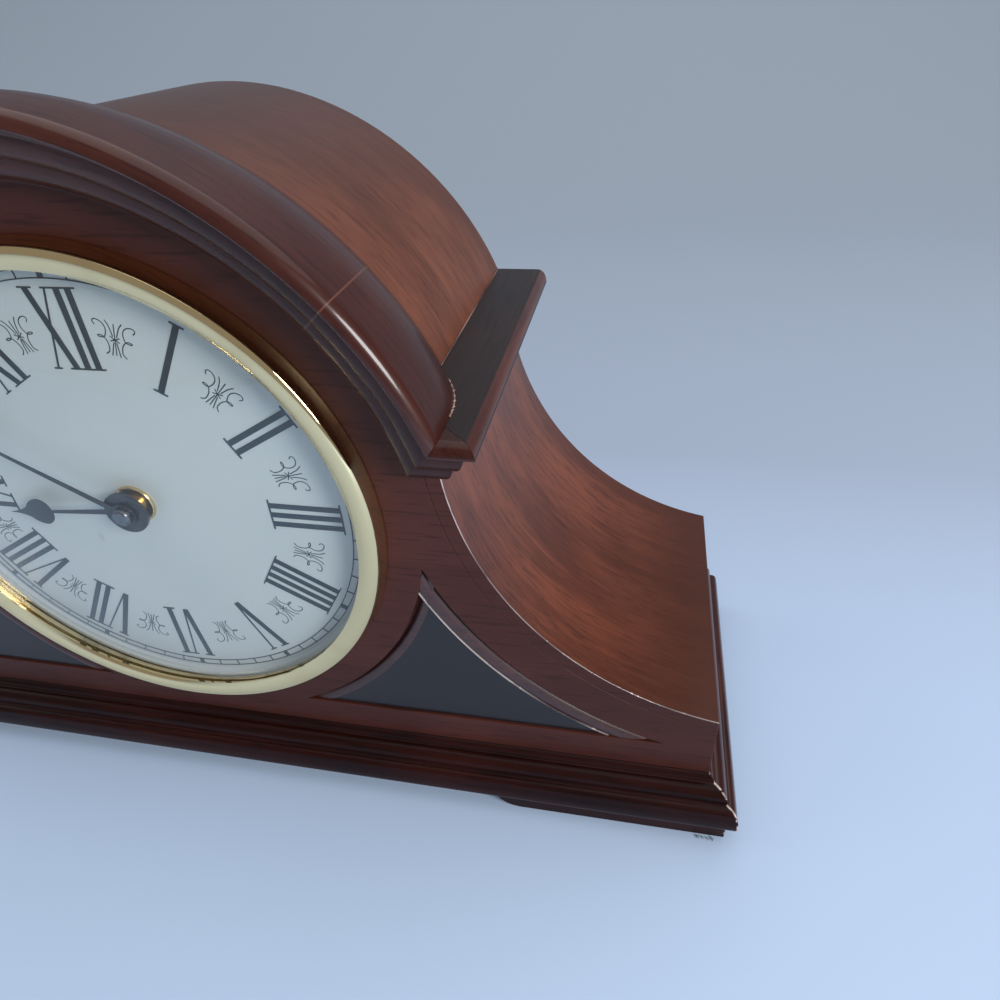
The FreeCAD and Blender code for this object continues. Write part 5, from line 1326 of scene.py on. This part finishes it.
@dataclass
class Viewpoint:
    """The camera, at the photograph's place; angles in radians, lens and sensor in millimetres."""

    place: Spot = (0.16218, -0.21523, 0.26609)
    azimuth: float = 0.216
    pitch: float = 0.620
    roll: float = -0.053
    lens: float = 25.389
    sensor: float = 36.0
    nearest: float = 0.01

    def build(self) -> None:
        """Makes the camera and sets it as the scene's."""
        data = bpy.data.cameras.new("viewpoint")
        data.lens = self.lens
        data.sensor_width = self.sensor
        data.clip_start = self.nearest
        camera = bpy.data.objects.new("viewpoint", data)
        flat = math.cos(self.pitch)
        back = Vector((math.sin(self.azimuth) * flat, -math.cos(self.azimuth) * flat, math.sin(self.pitch)))
        right = (-back).cross(Vector(UP)).normalized()
        up = right.cross(-back)
        level = right * math.cos(self.roll) + up * math.sin(self.roll)
        upright = up * math.cos(self.roll) - right * math.sin(self.roll)
        turn = Matrix((level, upright, back)).transposed().to_4x4()
        camera.matrix_world = Matrix.Translation(self.place) @ turn
        bpy.context.scene.collection.objects.link(camera)
        bpy.context.scene.camera = camera


@dataclass(frozen=True)
class Lamp:
    """A round soft lamp: its place and target in metres, its width, its power in watts and its colour."""

    name: str
    place: Spot
    target: Spot
    width: float
    power: float
    colour: Colour

    def hang(self) -> None:
        """Adds the lamp to the scene, turned to its target."""
        data = bpy.data.lights.new(self.name, "AREA")
        data.shape = "DISK"
        data.size = self.width
        data.energy = self.power
        data.color = self.colour
        lamp = bpy.data.objects.new(self.name, data)
        lamp.location = self.place
        lamp.rotation_mode = "QUATERNION"
        lamp.rotation_quaternion = (Vector(self.target) - Vector(self.place)).to_track_quat("-Z", "Y")
        bpy.context.scene.collection.objects.link(lamp)


@dataclass
class Studio:
    """The paper sweep and the soft light; lengths in metres."""

    finishes: Finishes
    half: float = 6.0
    front: float = -2.5
    wall: float = 2.3
    top: float = 2.6
    sweep_radius: float = 1.5
    sweep_steps: int = 24
    room_colour: Colour = (0.95, 0.90, 0.88)
    room_light: float = 0.27
    lamps: tuple[Lamp, ...] = (
        Lamp("window", (1.45, -0.95, 0.85), (0.05, 0.0, 0.12), 0.72, 27.0, (1.0, 0.98, 0.97)),
        Lamp("ceiling", (0.10, 0.45, 2.3), (-0.1, 0.0, 0.0), 3.6, 29.0, (0.97, 0.98, 1.0)),
        Lamp("left_room", (-2.4, 0.2, 1.6), (-0.4, 0.0, 0.0), 2.0, 12.0, (0.97, 0.98, 1.0)),
    )

    def sweep(self) -> None:
        """Makes the floor that curves up into the wall."""
        shape = bmesh.new()
        line = [shape.verts.new((-self.half, y, z)) for y, z in (
            (self.front, 0.0), (self.wall, 0.0), (self.wall, self.top))]
        edges = [shape.edges.new(pair) for pair in zip(line, line[1:])]
        moved = bmesh.ops.extrude_edge_only(shape, edges=edges)
        verts = [item for item in moved["geom"] if isinstance(item, bmesh.types.BMVert)]
        bmesh.ops.translate(shape, vec=(2.0 * self.half, 0.0, 0.0), verts=verts)
        corner = [edge for edge in shape.edges if len(edge.link_faces) == 2]
        bmesh.ops.bevel(shape, geom=corner, offset=self.sweep_radius, offset_type="OFFSET", affect="EDGES",
                        segments=self.sweep_steps, profile=0.5, material=-1)
        bmesh.ops.recalc_face_normals(shape, faces=shape.faces)
        mesh = bpy.data.meshes.new("paper_sweep")
        shape.to_mesh(mesh)
        shape.free()
        mesh.shade_smooth()
        mesh.materials.append(self.finishes["paper_sweep"])
        floor = bpy.data.objects.new("paper_sweep", mesh)
        bpy.context.scene.collection.objects.link(floor)
        floor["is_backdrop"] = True

    def light(self) -> None:
        """Hangs the lamps and sets the world's soft light."""
        for lamp in self.lamps:
            lamp.hang()
        world = bpy.data.worlds.new("room")
        world.use_nodes = True
        sky = world.node_tree.nodes["Background"]
        sky.inputs["Color"].default_value = (*self.room_colour, 1.0)
        sky.inputs["Strength"].default_value = self.room_light
        bpy.context.scene.world = world

    def build(self) -> None:
        """Builds the floor and the light."""
        self.sweep()
        self.light()
        bpy.context.scene.view_settings.view_transform = "Standard"


def corners() -> list[list[float]]:
    """The shown object's lowest and highest corner as plain lists."""
    return [[float(part) for part in corner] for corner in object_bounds()]


def main() -> None:
    """Loads the frame and builds every sub-assembly in order."""
    logging.basicConfig(level=logging.INFO, format="%(message)s")
    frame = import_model()
    Viewpoint().build()
    finishes = Finishes()
    shop = Workshop(frame, finishes)
    for part in (Case(shop), Mouldings(shop), Dial(shop), Bezel(shop), Hands(shop), Movement(shop), Back(shop)):
        part.build()
        log.info("%s is done", type(part).__name__)
    Studio(finishes).build()


if __name__ == "__main__":
    main()
